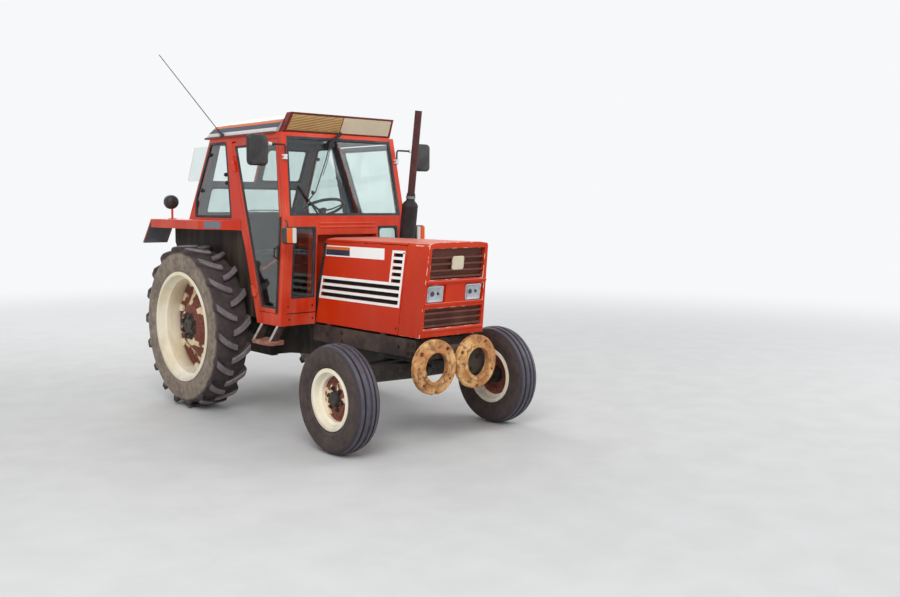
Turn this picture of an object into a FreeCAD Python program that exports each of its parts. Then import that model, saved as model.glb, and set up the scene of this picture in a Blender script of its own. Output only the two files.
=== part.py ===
import FreeCAD, Part
import math
import os
import Sketcher
from FreeCAD import Placement, Rotation, Vector

# A two-wheel-drive farm tractor with a glazed cab, at its real size in millimetres.
# The frame is +Z up with the floor at 0. The tractor faces -Y and the driver's left is +X.
# Outlines give y as the distance behind the rear axle, so what lies ahead of it is negative.

os.makedirs("parts", exist_ok=True)
doc = FreeCAD.newDocument("tractor")

# Driving dimensions: name and value in mm, degrees or a count
SIZES = [
    ("wheelbase", 2200),
    ("nose_overhang", 420),
    ("link_reach", 1020),
    ("clearance", 0.3),
    ("door_gap", 6),
    # rear wheels
    ("rear_radius", 711),
    ("tyre_gap", 62),
    ("rear_width", 315),
    ("rear_seat_radius", 457),
    ("rear_seat_width", 279),
    ("rear_carcass_radius", 679),
    ("rear_shoulder_radius", 640),
    ("rear_lugs", 18),
    ("lug_width", 36),
    ("lug_skew", 118),
    # front wheels
    ("front_radius", 397),
    ("front_track", 1585),
    ("front_width", 205),
    ("front_seat_radius", 203),
    ("front_seat_width", 140),
    ("front_sides", 28),
    ("hub_setback", 47.5),
    ("rib_groove_depth", 14),
    # rims
    ("flange_height", 25),
    ("flange_width", 12),
    ("rim_wall", 12),
    ("well_depth", 34),
    # driveline
    ("hub_depth", 29.5),
    ("case_half_width", 190),
    ("case_bottom", 420),
    ("case_top", 800),
    ("case_rear", 400),
    ("engine_rear", 1140),
    ("engine_lean", 120),
    ("engine_setback", 200),
    ("engine_half_width", 210),
    ("engine_top", 1220),
    ("sump_bottom", 520),
    # front frame and axle
    ("rail_half_width", 305),
    ("rail_wall", 40),
    ("rail_bottom", 665),
    ("rail_top", 803),
    ("rail_rear", 1160),
    ("rail_overhang", 275),
    ("support_bottom", 625),
    ("beam_bottom", 475),
    ("beam_height", 130),
    ("beam_depth", 100),
    ("pivot_radius", 25),
    ("kingpin_inset", 192.5),
    ("kingpin_radius", 20),
    ("boss_radius", 46),
    ("steer_arm", 170),
    ("steer_arm_wall", 20),
    ("tie_radius", 12),
    ("spindle_radius", 34),
    # weights
    ("weight_radius", 203),
    ("weight_bore", 118),
    ("weight_wall", 44),
    ("weight_hub_wall", 18),
    ("weight_z", 610),
    # bonnet
    ("bonnet_bottom", 822),
    ("bonnet_side_top", 1484),
    ("lid_gap", 6),
    ("bonnet_top_z", 1514),
    ("bonnet_low_half", 317),
    ("bonnet_high_half", 288),
    ("bonnet_wall", 20),
    ("bonnet_lean", 84),
    ("bonnet_rear_low", 1172),
    ("bonnet_rear_high", 1306),
    ("nose_seam_lead", 87),
    ("nose_wall", 40),
    ("slat_pitch", 47),
    ("slat_height", 12),
    ("vent_slot", 32),
    ("vent_bar", 22),
    ("vent_bottom", 1045),
    ("lamp_width", 150),
    ("lamp_height", 118),
    ("lamp_x", 187),
    ("lamp_z", 1138),
    # exhaust
    ("muffler_x", 378),
    ("muffler_radius", 68),
    ("pipe_radius", 29),
    ("exhaust_lean", 8),
    ("muffler_length", 455),
    ("exhaust_length", 1190),
    ("exhaust_foot_y", 1530),
    ("exhaust_foot_z", 1370),
    # cab
    ("cab_bottom", 810),
    ("cab_waist", 1690),
    ("cab_eave", 2360),
    ("cab_half_width", 660),
    ("cab_lean", 3.4),
    ("cab_wall", 45),
    ("cab_front", 1230),
    ("cab_front_top", 1120),
    ("cab_rear", 400),
    ("cab_rear_top", 50),
    ("cab_rail_bottom", 1560),
    ("recess_gap", 14),
    ("recess_depth", 68),
    ("recess_top", 1535),
    ("recess_wall", 12),
    ("panel_wall", 40),
    ("post_width", 45),
    ("b_post_width", 62),
    ("b_post_top", 255),
    ("b_post_low", 870),
    ("door_bottom", 905),
    ("door_top", 2315),
    ("door_wall", 26),
    ("door_top_gap", 9),
    ("door_corner", 60),
    ("window_margin", 87),
    ("low_window_bottom", 1030),
    ("low_window_top", 1600),
    ("low_window_gap", 20),
    ("door_pin_radius", 5),
    ("door_eye_radius", 8),
    ("door_eye_length", 40),
    ("door_bar", 32),
    ("glass_wall", 6),
    ("seal_gap", 0.5),
    ("floor_z", 830),
    ("floor_wall", 20),
    ("roof_top_front", 2513),
    ("roof_top_rear", 2462),
    ("roof_inset", 85),
    ("roof_rear", 110),
    ("visor_depth", 70),
    ("visor_lean", 91),
    ("visor_frame", 22),
    # fenders
    ("fender_overhang", 140),
    ("fender_top", 1640),
    ("fender_sheet", 15),
    ("fender_lip", 78),
    ("fender_rear", 790),
    ("fender_corner", 140),
    ("fender_inset", 115),
    ("flap_reach", 975),
    # driver's place
    ("seat_half_width", 235),
    ("seat_top", 1370),
    ("wheel_hub_y", 850),
    ("wheel_hub_z", 1745),
    ("wheel_rake", 22),
    ("steering_wheel_radius", 205),
    ("steering_rim", 26),
    # steps and lamps
    ("step_bottom", 645),
    ("step_wall", 22),
    ("mirror_reach", 170),
    ("mirror_y", 1202),
    ("mirror_z", 2200),
    # rear linkage
    ("shaft_y", 470),
    ("shaft_z", 900),
    ("shaft_radius", 30),
    ("arm_length", 300),
    ("arm_drop", 12),
    ("arm_wall", 25),
    ("arm_x", 200),
    ("link_pivot_y", 120),
    ("link_z", 460),
    ("link_wall", 24),
    ("link_pivot_x", 250),
    ("link_pin_radius", 14),
    ("link_end_x", 420),
    ("rod_reach", 560),
    ("rod_radius", 12),
    ("ball_bore", 14),
    ("rod_clearance", 3),
    ("top_pin_radius", 12),
    ("top_link_length", 770),
    ("top_link_radius", 17),
    ("top_link_back", 197),
    ("top_link_lean", 95),
    ("pto_z", 600),
    ("drawbar_z", 372),
]


class Size:
    """A length with its value and the sheet expression that it comes from."""

    def __init__(self, text, value):
        self.text = text
        self.value = float(value)

    def __add__(self, other):
        return combined(self, "+", other)

    def __radd__(self, other):
        return combined(other, "+", self)

    def __sub__(self, other):
        return combined(self, "-", other)

    def __rsub__(self, other):
        return combined(other, "-", self)

    def __mul__(self, other):
        return combined(self, "*", other)

    def __rmul__(self, other):
        return combined(other, "*", self)

    def __truediv__(self, other):
        return combined(self, "/", other)

    def __neg__(self):
        return combined(0, "-", self)

    def __float__(self):
        return self.value


SUMS = {
    "+": lambda a, b: a + b,
    "-": lambda a, b: a - b,
    "*": lambda a, b: a * b,
    "/": lambda a, b: a / b,
}


def as_size(value):
    return value if isinstance(value, Size) else Size(repr(float(value)), value)


def combined(first, sign, second):
    first = as_size(first)
    second = as_size(second)
    text = "(" + first.text + " " + sign + " " + second.text + ")"
    return Size(text, SUMS[sign](first.value, second.value))


class Sheet:
    """The driving dimensions as attributes, each tied to its cell."""


s = Sheet()
sheet = doc.addObject("Spreadsheet::Sheet", "sizes")
for row, (word, value) in enumerate(SIZES, start=1):
    sheet.set(f"A{row}", word)
    sheet.set(f"B{row}", str(value))
    sheet.setAlias(f"B{row}", word)
    setattr(s, word, Size("sizes." + word, value))
doc.recompute()

# Places that follow from the driving dimensions
s.nose_reach = s.wheelbase + s.nose_overhang
s.nose_seam_low = s.wheelbase + s.nose_seam_lead
s.rail_front = s.wheelbase + s.rail_overhang
s.engine_front = s.wheelbase - s.engine_setback
s.fender_wall_x = s.cab_half_width - s.fender_inset
s.fender_half_width = s.cab_half_width + s.fender_overhang
s.roof_half_width = s.cab_half_width - s.roof_inset
s.mirror_x = s.cab_half_width + s.mirror_reach
s.rear_track = 2 * (s.fender_wall_x + s.tyre_gap) + s.rear_width
s.housing_end = s.rear_track / 2 - s.hub_depth
s.spindle_end = s.front_track / 2 - s.hub_setback
s.kingpin_x = s.front_track / 2 - s.kingpin_inset

# The rear axle's place keeps the origin midway between the nose and the link ends
axle_y = (s.nose_reach - s.link_reach) / 2
nose_slope = s.bonnet_lean / (s.bonnet_side_top - s.bonnet_bottom)
nose_low = s.nose_reach - nose_slope * (s.bonnet_top_z - s.bonnet_bottom)
X, Y, Z = Vector(1, 0, 0), Vector(0, 1, 0), Vector(0, 0, 1)


def bind(item, name, value):
    item.setExpression(name, as_size(value).text)


def place(item, x=0, y=0, z=0):
    for letter, value in zip("xyz", (x, y, z)):
        bind(item, "Placement.Base." + letter, value)


# Outlines, pads and turned pieces

def outline(sketch, points, tag):
    """A closed outline whose corners are all tied to the sheet."""
    first = sketch.GeometryCount
    corners = [Vector(float(u), float(v), 0) for u, v in points]
    count = len(corners)
    lines = [Part.LineSegment(corners[i], corners[(i + 1) % count]) for i in range(count)]
    sketch.addGeometry(lines, False)
    for i in range(count):
        sketch.addConstraint(Sketcher.Constraint("Coincident", first + i, 2, first + (i + 1) % count, 1))
    for i, (u, v) in enumerate(points):
        for kind, value in (("DistanceX", u), ("DistanceY", v)):
            index = sketch.addConstraint(Sketcher.Constraint(kind, -1, 1, first + i, 1, float(value)))
            name = f"{tag}_{kind[-1].lower()}{i}"
            sketch.renameConstraint(index, name)
            bind(sketch, "Constraints." + name, value)


def new_sketch(body, name, plane):
    sketch = body.newObject("Sketcher::SketchObject", name)
    origin_plane = [item for item in body.Origin.OriginFeatures if item.Role == plane + "_Plane"][0]
    sketch.AttachmentSupport = [(origin_plane, "")]
    sketch.MapMode = "FlatFace"
    return sketch


def prism(name, plane, points, start, end, holes=()):
    """A body padded from start to end across its plane: YZ along X, XZ along Y, XY along Z."""
    body = doc.addObject("PartDesign::Body", name)
    sketch = new_sketch(body, name + "_outline", plane)
    outline(sketch, points, "edge")
    for number, hole in enumerate(holes):
        outline(sketch, hole, f"hole{number}")
    pad = body.newObject("PartDesign::Pad", name + "_pad")
    pad.Profile = sketch
    bind(pad, "Length", as_size(end) - start)
    along = {"YZ": (start, axle_y, 0), "XZ": (0, axle_y + end, 0), "XY": (0, axle_y, start)}
    place(body, *along[plane])
    return body


def box(name, x, y, z):
    item = doc.addObject("Part::Box", name)
    for side, (low, high) in zip(("Length", "Width", "Height"), (x, y, z)):
        bind(item, side, as_size(high) - low)
    place(item, x[0], axle_y + y[0], z[0])
    return item


def rod(name, along, centre, radius, low, high, sides=16):
    """A shaft of flats along X, Y or Z, or a true cylinder with no sides; centre gives its other coordinates."""
    item = doc.addObject("Part::Prism" if sides else "Part::Cylinder", name)
    if sides:
        item.Polygon = sides
    bind(item, "Circumradius" if sides else "Radius", radius)
    bind(item, "Height", as_size(high) - low)
    if along == "X":
        item.Placement.Rotation = Rotation(Z, X)
        place(item, low, axle_y + centre[0], centre[1])
    if along == "Y":
        item.Placement.Rotation = Rotation(Z, Y)
        place(item, centre[0], axle_y + low, centre[1])
    if along == "Z":
        place(item, centre[0], axle_y + centre[1], low)
    return item


def bore(name, along, centre, radius, low, high, sides=16):
    """A hole that a shaft of the same radius turns in with the named clearance."""
    return rod(name, along, centre, (radius + s.clearance) / math.cos(math.pi / sides), low, high, sides)


def gathered(kind, name, parts):
    item = doc.addObject("Part::" + kind, name)
    if kind == "Compound":
        item.Links = parts
    else:
        item.Shapes = parts
        item.Refine = True
    return item


def fused(name, parts):
    return gathered("MultiFuse", name, parts)


def common(name, parts):
    return gathered("MultiCommon", name, parts)


def cut(name, base, tools):
    item = doc.addObject("Part::Cut", name)
    item.Base = base
    item.Tool = tools[0] if len(tools) == 1 else fused(name + "_tools", tools)
    item.Refine = True
    return item


def mirrored(name, source):
    item = doc.addObject("Part::Mirroring", name)
    item.Source = source
    item.Normal = X
    return item


def pair(name, source):
    """A piece on the driver's left and its like on the right, in one node."""
    return gathered("Compound", name, [source, mirrored(name + "_other", source)])


def made(name, shape, x=0, y=0, z=0, turn=Rotation()):
    item = doc.addObject("Part::Feature", name)
    item.Shape = shape
    item.Placement = Placement(Vector(float(x), float(axle_y + y), float(z)), turn)
    return item


def lean_in(body, start):
    """Tilts a piece drawn on the side view about the cab's lower edge, so that it follows the cab's side."""
    angle = s.cab_lean.text
    inset = as_size(start - s.cab_half_width).text
    body.Placement.Rotation = Rotation(Y, 1)
    body.setExpression("Placement.Rotation.Angle", f"0 - {angle}")
    low = s.cab_bottom.text
    body.setExpression("Placement.Base.x",
                       f"{s.cab_half_width.text} + {inset} * cos({angle}) + {low} * sin({angle})")
    body.setExpression("Placement.Base.z", f"{low} * (1 - cos({angle})) + {inset} * sin({angle})")
    return body


def cab_half(z, inset=0):
    """Half the cab's width at a height, less an inset."""
    return s.cab_half_width - math.tan(math.radians(float(s.cab_lean))) * (z - s.cab_bottom) - inset


def flat_ring(profile, sides, phase=0.0):
    """A solid of flats about the X axis; profile lists (x, distance of the flat from the axis)."""
    step = 2 * math.pi / sides
    reach = 1 / math.cos(step / 2)

    def corner(x, radius, number):
        angle = phase - math.pi / 2 + (number - 0.5) * step
        return Vector(x, radius * reach * math.cos(angle), radius * reach * math.sin(angle))

    faces = []
    for number in range(sides):
        for (xa, ra), (xb, rb) in zip(profile, profile[1:] + profile[:1]):
            ring = [corner(xa, ra, number), corner(xb, rb, number)]
            if rb > 0:
                ring.append(corner(xb, rb, number + 1))
            if ra > 0:
                ring.append(corner(xa, ra, number + 1))
            if ra > 0 or rb > 0:
                faces.append(Part.Face(Part.makePolygon(ring + ring[:1])))
    solid = Part.makeSolid(Part.makeShell(faces))
    if solid.Volume < 0:
        solid.reverse()
    return solid


def solid_rod(start, end, radius, sides=12):
    """A round bar of flats between two points."""
    along = end - start
    across = along.cross(X) if along.cross(X).Length > 1e-6 else Vector(0, 1, 0)
    across.normalize()
    other = along.cross(across).normalize()
    ring = []
    for number in range(sides + 1):
        angle = 2 * math.pi * (number % sides + 0.5) / sides
        ring.append(start + across * (radius * math.cos(angle)) + other * (radius * math.sin(angle)))
    return Part.Face(Part.makePolygon(ring)).extrude(along)


# Wheels, drawn for the right side: the outer face looks to -X

def rim_shape(seat_radius, seat_width, dish_x, hub_face_x, hub_back_x, hub_radius, sides):
    """A drop-centre rim with a dished disc and its hub, as one turned piece."""
    flange = float(s.flange_height)
    lip = float(s.flange_width)
    wall = float(s.rim_wall)
    half = seat_width / 2
    inner = seat_radius - wall
    floor = inner - float(s.well_depth)
    profile = [
        (-half - lip, inner),
        (-half - lip, seat_radius + flange),
        (-half, seat_radius + flange),
        (-half, seat_radius),
        (half, seat_radius),
        (half, seat_radius + flange),
        (half + lip, seat_radius + flange),
        (half + lip, inner),
        (dish_x + wall, floor),
        (hub_face_x + wall + 20, hub_radius),
        (hub_back_x, hub_radius),
        (hub_back_x, 0),
        (hub_face_x, 0),
        (hub_face_x, hub_radius),
        (dish_x - 10, floor),
    ]
    return flat_ring(profile, sides)


def rear_tyre_shape():
    half = float(s.rear_width) / 2
    seat = float(s.rear_seat_radius)
    seat_half = float(s.rear_seat_width) / 2
    carcass = float(s.rear_carcass_radius)
    shoulder = float(s.rear_shoulder_radius)
    sides = 2 * int(float(s.rear_lugs))
    bead = seat + float(s.flange_height)
    bulge = bead + 0.4 * (shoulder - bead)
    right = [(-seat_half, seat), (-seat_half, bead), (-half, bulge), (-half + 6, shoulder), (-half + 45, carcass)]
    left = [(-x, radius) for x, radius in reversed(right)]
    carcass_solid = flat_ring(right + left, sides)
    lugs = [lug_shape(number, side) for number in range(int(float(s.rear_lugs))) for side in (-1, 1)]
    return carcass_solid.fuse(lugs).removeSplitter()


def lug_shape(number, side):
    """One slanting bar from the tread's middle to its shoulder; its middle end leads at the front."""
    tip = float(s.rear_radius)
    width = float(s.lug_width)
    skew = float(s.lug_skew)
    half = float(s.rear_width) / 2
    pitch = 2 * math.pi / float(s.rear_lugs)
    root = float(s.rear_shoulder_radius) - 12
    end_angle = math.atan2(skew / 2 + width * 0.6, tip)
    top = tip * math.cos(end_angle) / math.cos(width * 0.6 / tip)
    inner_x, outer_x = side * -12, side * (half - 4)
    plan = [
        (inner_x, -skew / 2 - width * 0.4),
        (inner_x, -skew / 2 + width * 0.4),
        (outer_x, skew / 2 + width * 0.6),
        (outer_x, skew / 2 - width * 0.6),
    ]
    foot = Part.Face(Part.makePolygon([Vector(x, along, root) for x, along in plan + plan[:1]]))
    bar = foot.extrude(Vector(0, 0, top - root))
    # the bar's shoulder end falls away towards the sidewall
    bar = bar.cut(Part.makeBox(60, 400, 60, Vector(outer_x - (0 if side > 0 else 60), -200, top - 22)))
    stagger = 0.5 if side > 0 else 0.0
    shoulder_angle = skew / 2 / tip
    turn = math.degrees(pitch * (number + stagger)) + 180 - math.degrees(shoulder_angle)
    bar.rotate(Vector(0, 0, 0), X, -turn)
    return bar


def front_tyre_shape():
    half = float(s.front_width) / 2
    seat = float(s.front_seat_radius)
    seat_half = float(s.front_seat_width) / 2
    tread = float(s.front_radius)
    groove = tread - float(s.rib_groove_depth)
    bead = seat + float(s.flange_height)
    bulge = bead + 0.4 * (tread - bead)
    right = [
        (-seat_half, seat),
        (-seat_half, bead),
        (-half, bulge),
        (-half + 34, tread - 6),
        (-half + 67, groove),
        (-half + 77, tread),
    ]
    left = [(-x, radius) for x, radius in reversed(right)]
    return flat_ring(right + left, int(float(s.front_sides)))


def make_wheels():
    rear_x = -(s.rear_track / 2)
    front_x = -(s.front_track / 2)
    rear_sides = 2 * int(float(s.rear_lugs))
    rear_back = float(s.hub_depth - s.clearance)
    front_back = float(s.hub_setback - s.clearance)
    rear_rim = rim_shape(float(s.rear_seat_radius), float(s.rear_seat_width), 108, -72, rear_back, 115, rear_sides)
    front_rim = rim_shape(float(s.front_seat_radius), float(s.front_seat_width), 58, -22, front_back, 74,
                          int(float(s.front_sides)))
    table = [
        ("rear_rim", rear_rim, rear_x, 0, s.rear_radius),
        ("rear_tyre", rear_tyre_shape(), rear_x, 0, s.rear_radius),
        ("front_rim", front_rim, front_x, -s.wheelbase, s.front_radius),
        ("front_tyre", front_tyre_shape(), front_x, -s.wheelbase, s.front_radius),
    ]
    nodes = []
    for name, shape, x, y, z in table:
        right = made(name + "_right", shape, x, y, z)
        nodes += [right, mirrored(name + "_left", right)]
    return nodes


# Engine, gearbox, rear axle and front frame

def make_driveline():
    side = prism("case_side", "YZ", [
        (-s.engine_rear, s.sump_bottom), (-s.engine_rear, s.case_top), (s.case_rear, s.case_top),
        (s.case_rear, s.case_bottom + 90), (s.case_rear - 90, s.case_bottom), (-250, s.case_bottom),
        (-560, s.case_bottom + 50),
    ], -s.case_half_width - 20, s.case_half_width + 20)
    plan = prism("case_plan", "XY", [
        (-s.case_half_width - 20, -s.engine_rear), (-s.case_half_width - 20, -980), (-140, -860), (-140, -420),
        (-s.case_half_width, -300), (-s.case_half_width, s.case_rear), (s.case_half_width, s.case_rear),
        (s.case_half_width, -300), (140, -420), (140, -860), (s.case_half_width + 20, -980),
        (s.case_half_width + 20, -s.engine_rear),
    ], 0, 1000)
    case = common("case_solid", [side, plan])

    root = float(s.case_half_width)
    end = float(s.housing_end)
    trumpet = flat_ring([
        (root, 0), (root, 114), (root + 30, 114), (root + 50, 96), (end - 40, 78), (end - 40, 104),
        (end, 104), (end, 0),
    ], 14)
    housing = pair("rear_axle_housings", made("axle_housing_left", trumpet, 0, 0, s.rear_radius))

    engine = prism("engine_block", "YZ", [
        (-s.engine_rear, s.sump_bottom), (-s.engine_rear, s.case_top), (-s.engine_rear - s.engine_lean, s.engine_top),
        (-s.engine_front, s.engine_top),
        (-s.engine_front, s.rail_bottom - 60), (-s.engine_front + 90, s.sump_bottom),
    ], -s.engine_half_width, s.engine_half_width)

    rail = box("rail_left", (s.rail_half_width - s.rail_wall, s.rail_half_width),
               (-s.rail_front, -s.rail_rear), (s.rail_bottom, s.rail_top))
    foot = box("rail_foot", (s.engine_half_width, s.rail_half_width - s.rail_wall),
               (-s.rail_rear - 240, -s.rail_rear - 90), (s.rail_bottom + 15, s.rail_top - 15))
    posts = [box(f"rail_post_{number}", (s.rail_half_width - s.rail_wall, s.rail_half_width), (-y - 60, -y),
                 (s.rail_top, s.bonnet_bottom)) for number, y in enumerate((s.rail_rear + 190, s.engine_front + 60))]
    rails = pair("front_frame", fused("rail_with_foot", [rail, foot, *posts]))
    stubs = [rod(f"link_pin_{word}", "X", (s.link_pivot_y, s.link_z), s.link_pin_radius,
                 *sorted((side * s.case_half_width, side * (s.link_pivot_x + s.link_wall / 2 + 14)), key=float))
             for word, side in (("left", 1), ("right", -1))]
    case = fused("gearbox_case", [case, *stubs])
    return [case, housing, engine, rails]


def make_front_axle():
    axle = -s.wheelbase
    beam_top = s.beam_bottom + s.beam_height
    pivot_z = s.beam_bottom + s.beam_height / 2
    half_depth = s.beam_depth / 2
    inner_rail = s.rail_half_width - s.rail_wall
    cradle = box("cradle", (-inner_rail, inner_rail), (-s.rail_front, -s.engine_front),
                 (s.support_bottom, s.rail_top))
    cheek_y = half_depth + 6
    cheeks = [
        box("cheek_front", (-70, 70), (axle - cheek_y - 25, axle - cheek_y), (pivot_z - 45, s.support_bottom)),
        box("cheek_rear", (-70, 70), (axle + cheek_y, axle + cheek_y + 25), (pivot_z - 45, s.support_bottom)),
    ]
    pin = rod("pivot_pin", "Y", (0, pivot_z), s.pivot_radius, axle - cheek_y - 25, axle + cheek_y + 25)
    posts = [box(f"nose_post_{word}", (side * 200 - 30, side * 200 + 30), (-s.rail_front, -s.rail_front + 90),
                 (s.rail_top, s.bonnet_bottom)) for word, side in (("left", 1), ("right", -1))]
    support = fused("axle_support", [cradle, *cheeks, pin, *posts])

    reach = s.kingpin_x
    bar = prism("beam_bar", "XZ", [
        (-reach, s.beam_bottom + 14), (-160, s.beam_bottom), (160, s.beam_bottom), (reach, s.beam_bottom + 14),
        (reach, beam_top - 8), (-reach, beam_top - 8),
    ], axle - half_depth, axle + half_depth)
    bosses = [rod(f"kingpin_boss_{word}", "Z", (side * s.kingpin_x, axle), s.boss_radius,
                  s.beam_bottom - 12, beam_top) for word, side in (("left", 1), ("right", -1))]
    bores = [bore(f"kingpin_bore_{word}", "Z", (side * s.kingpin_x, axle), s.kingpin_radius,
                  s.beam_bottom - 50, beam_top + 50) for word, side in (("left", 1), ("right", -1))]
    pivot_bore = bore("pivot_bore", "Y", (0, pivot_z), s.pivot_radius, axle - half_depth - 20, axle + half_depth + 20)
    beam = cut("front_axle_beam", fused("beam_solid", [bar, *bosses]), [*bores, pivot_bore])

    block_top = s.beam_bottom - 12 - s.clearance
    arm_bottom = beam_top + s.clearance
    knuckle = fused("knuckle_left", [
        box("knuckle_block", (s.kingpin_x - 45, s.kingpin_x + 45), (axle - 45, axle + 45),
            (s.front_radius - 42, block_top)),
        rod("kingpin", "Z", (s.kingpin_x, axle), s.kingpin_radius, block_top - 5, arm_bottom + 5),
        rod("spindle", "X", (axle, s.front_radius), s.spindle_radius, s.kingpin_x, s.spindle_end),
        box("steering_arm", (s.kingpin_x - 28, s.kingpin_x + 28), (axle - 34, axle + s.steer_arm + 24),
            (arm_bottom, arm_bottom + s.steer_arm_wall)),
    ])
    other = mirrored("knuckle_right", knuckle)

    tie_y = axle + s.steer_arm
    tie_top = arm_bottom - s.clearance
    tie_z = tie_top - 16
    ends = [rod(f"tie_end_{word}", "Z", (side * s.kingpin_x, tie_y), 24, tie_top - 32, tie_top)
            for word, side in (("left", 1), ("right", -1))]
    tie = fused("tie_rod", [rod("tie_bar", "X", (tie_y, tie_z), s.tie_radius, -s.kingpin_x, s.kingpin_x), *ends])
    return [support, beam, knuckle, other, tie]


def make_weights():
    front = s.rail_front + 75
    carrier = box("weight_carrier", (-285, 285), (-front, -s.rail_front), (s.weight_z + 52, s.weight_z + 140))
    radius = float(s.weight_radius)
    bore = float(s.weight_bore)
    wall = float(s.weight_wall)
    hub = float(s.weight_hub_wall)
    sides = 24
    ring = flat_ring([
        (0, bore), (0, radius - 12), (-12, radius), (-wall, radius), (-wall, bore + 42),
        (-wall - hub, bore + 34), (-wall - hub, bore),
    ], sides)
    middle_x = s.weight_radius / math.cos(math.pi / sides) + 1
    left = made("weight_left", ring, middle_x, -front, s.weight_z, Rotation(Z, 90))
    return [carrier, pair("front_weights", left)]


# Bonnet, grilles and lamps

def lean_y(low_y, z):
    """The y of a line that leans forward with the bonnet's front, from its y at the bonnet's bottom."""
    return low_y + nose_slope * (z - s.bonnet_bottom)


def bonnet_half(z, inset=0):
    """Half the bonnet's width at a height."""
    flare = (s.bonnet_low_half - s.bonnet_high_half) / (s.bonnet_side_top - s.bonnet_bottom)
    return s.bonnet_low_half - flare * (z - s.bonnet_bottom) - inset


def bonnet_front_view(inset, bottom, top):
    """The bonnet seen from the front: it flares towards the bottom and has a crowned top."""
    edge = s.bonnet_side_top + s.lid_gap
    rise = top - edge
    return [
        (-bonnet_half(bottom, inset), bottom), (bonnet_half(bottom, inset), bottom),
        (bonnet_half(edge, inset), edge), (bonnet_half(edge, inset) - 10, edge + rise * 0.6),
        (bonnet_half(edge, inset) - 90, top), (90 - bonnet_half(edge, inset), top),
        (10 - bonnet_half(edge, inset), edge + rise * 0.6), (-bonnet_half(edge, inset), edge),
    ]


def rear_edge_y(z):
    """The y of the bonnet's slanting rear edge at a height."""
    slope = (s.bonnet_rear_high - s.bonnet_rear_low) / (s.bonnet_side_top - s.bonnet_bottom)
    return s.bonnet_rear_low + slope * (z - s.bonnet_bottom)


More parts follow.
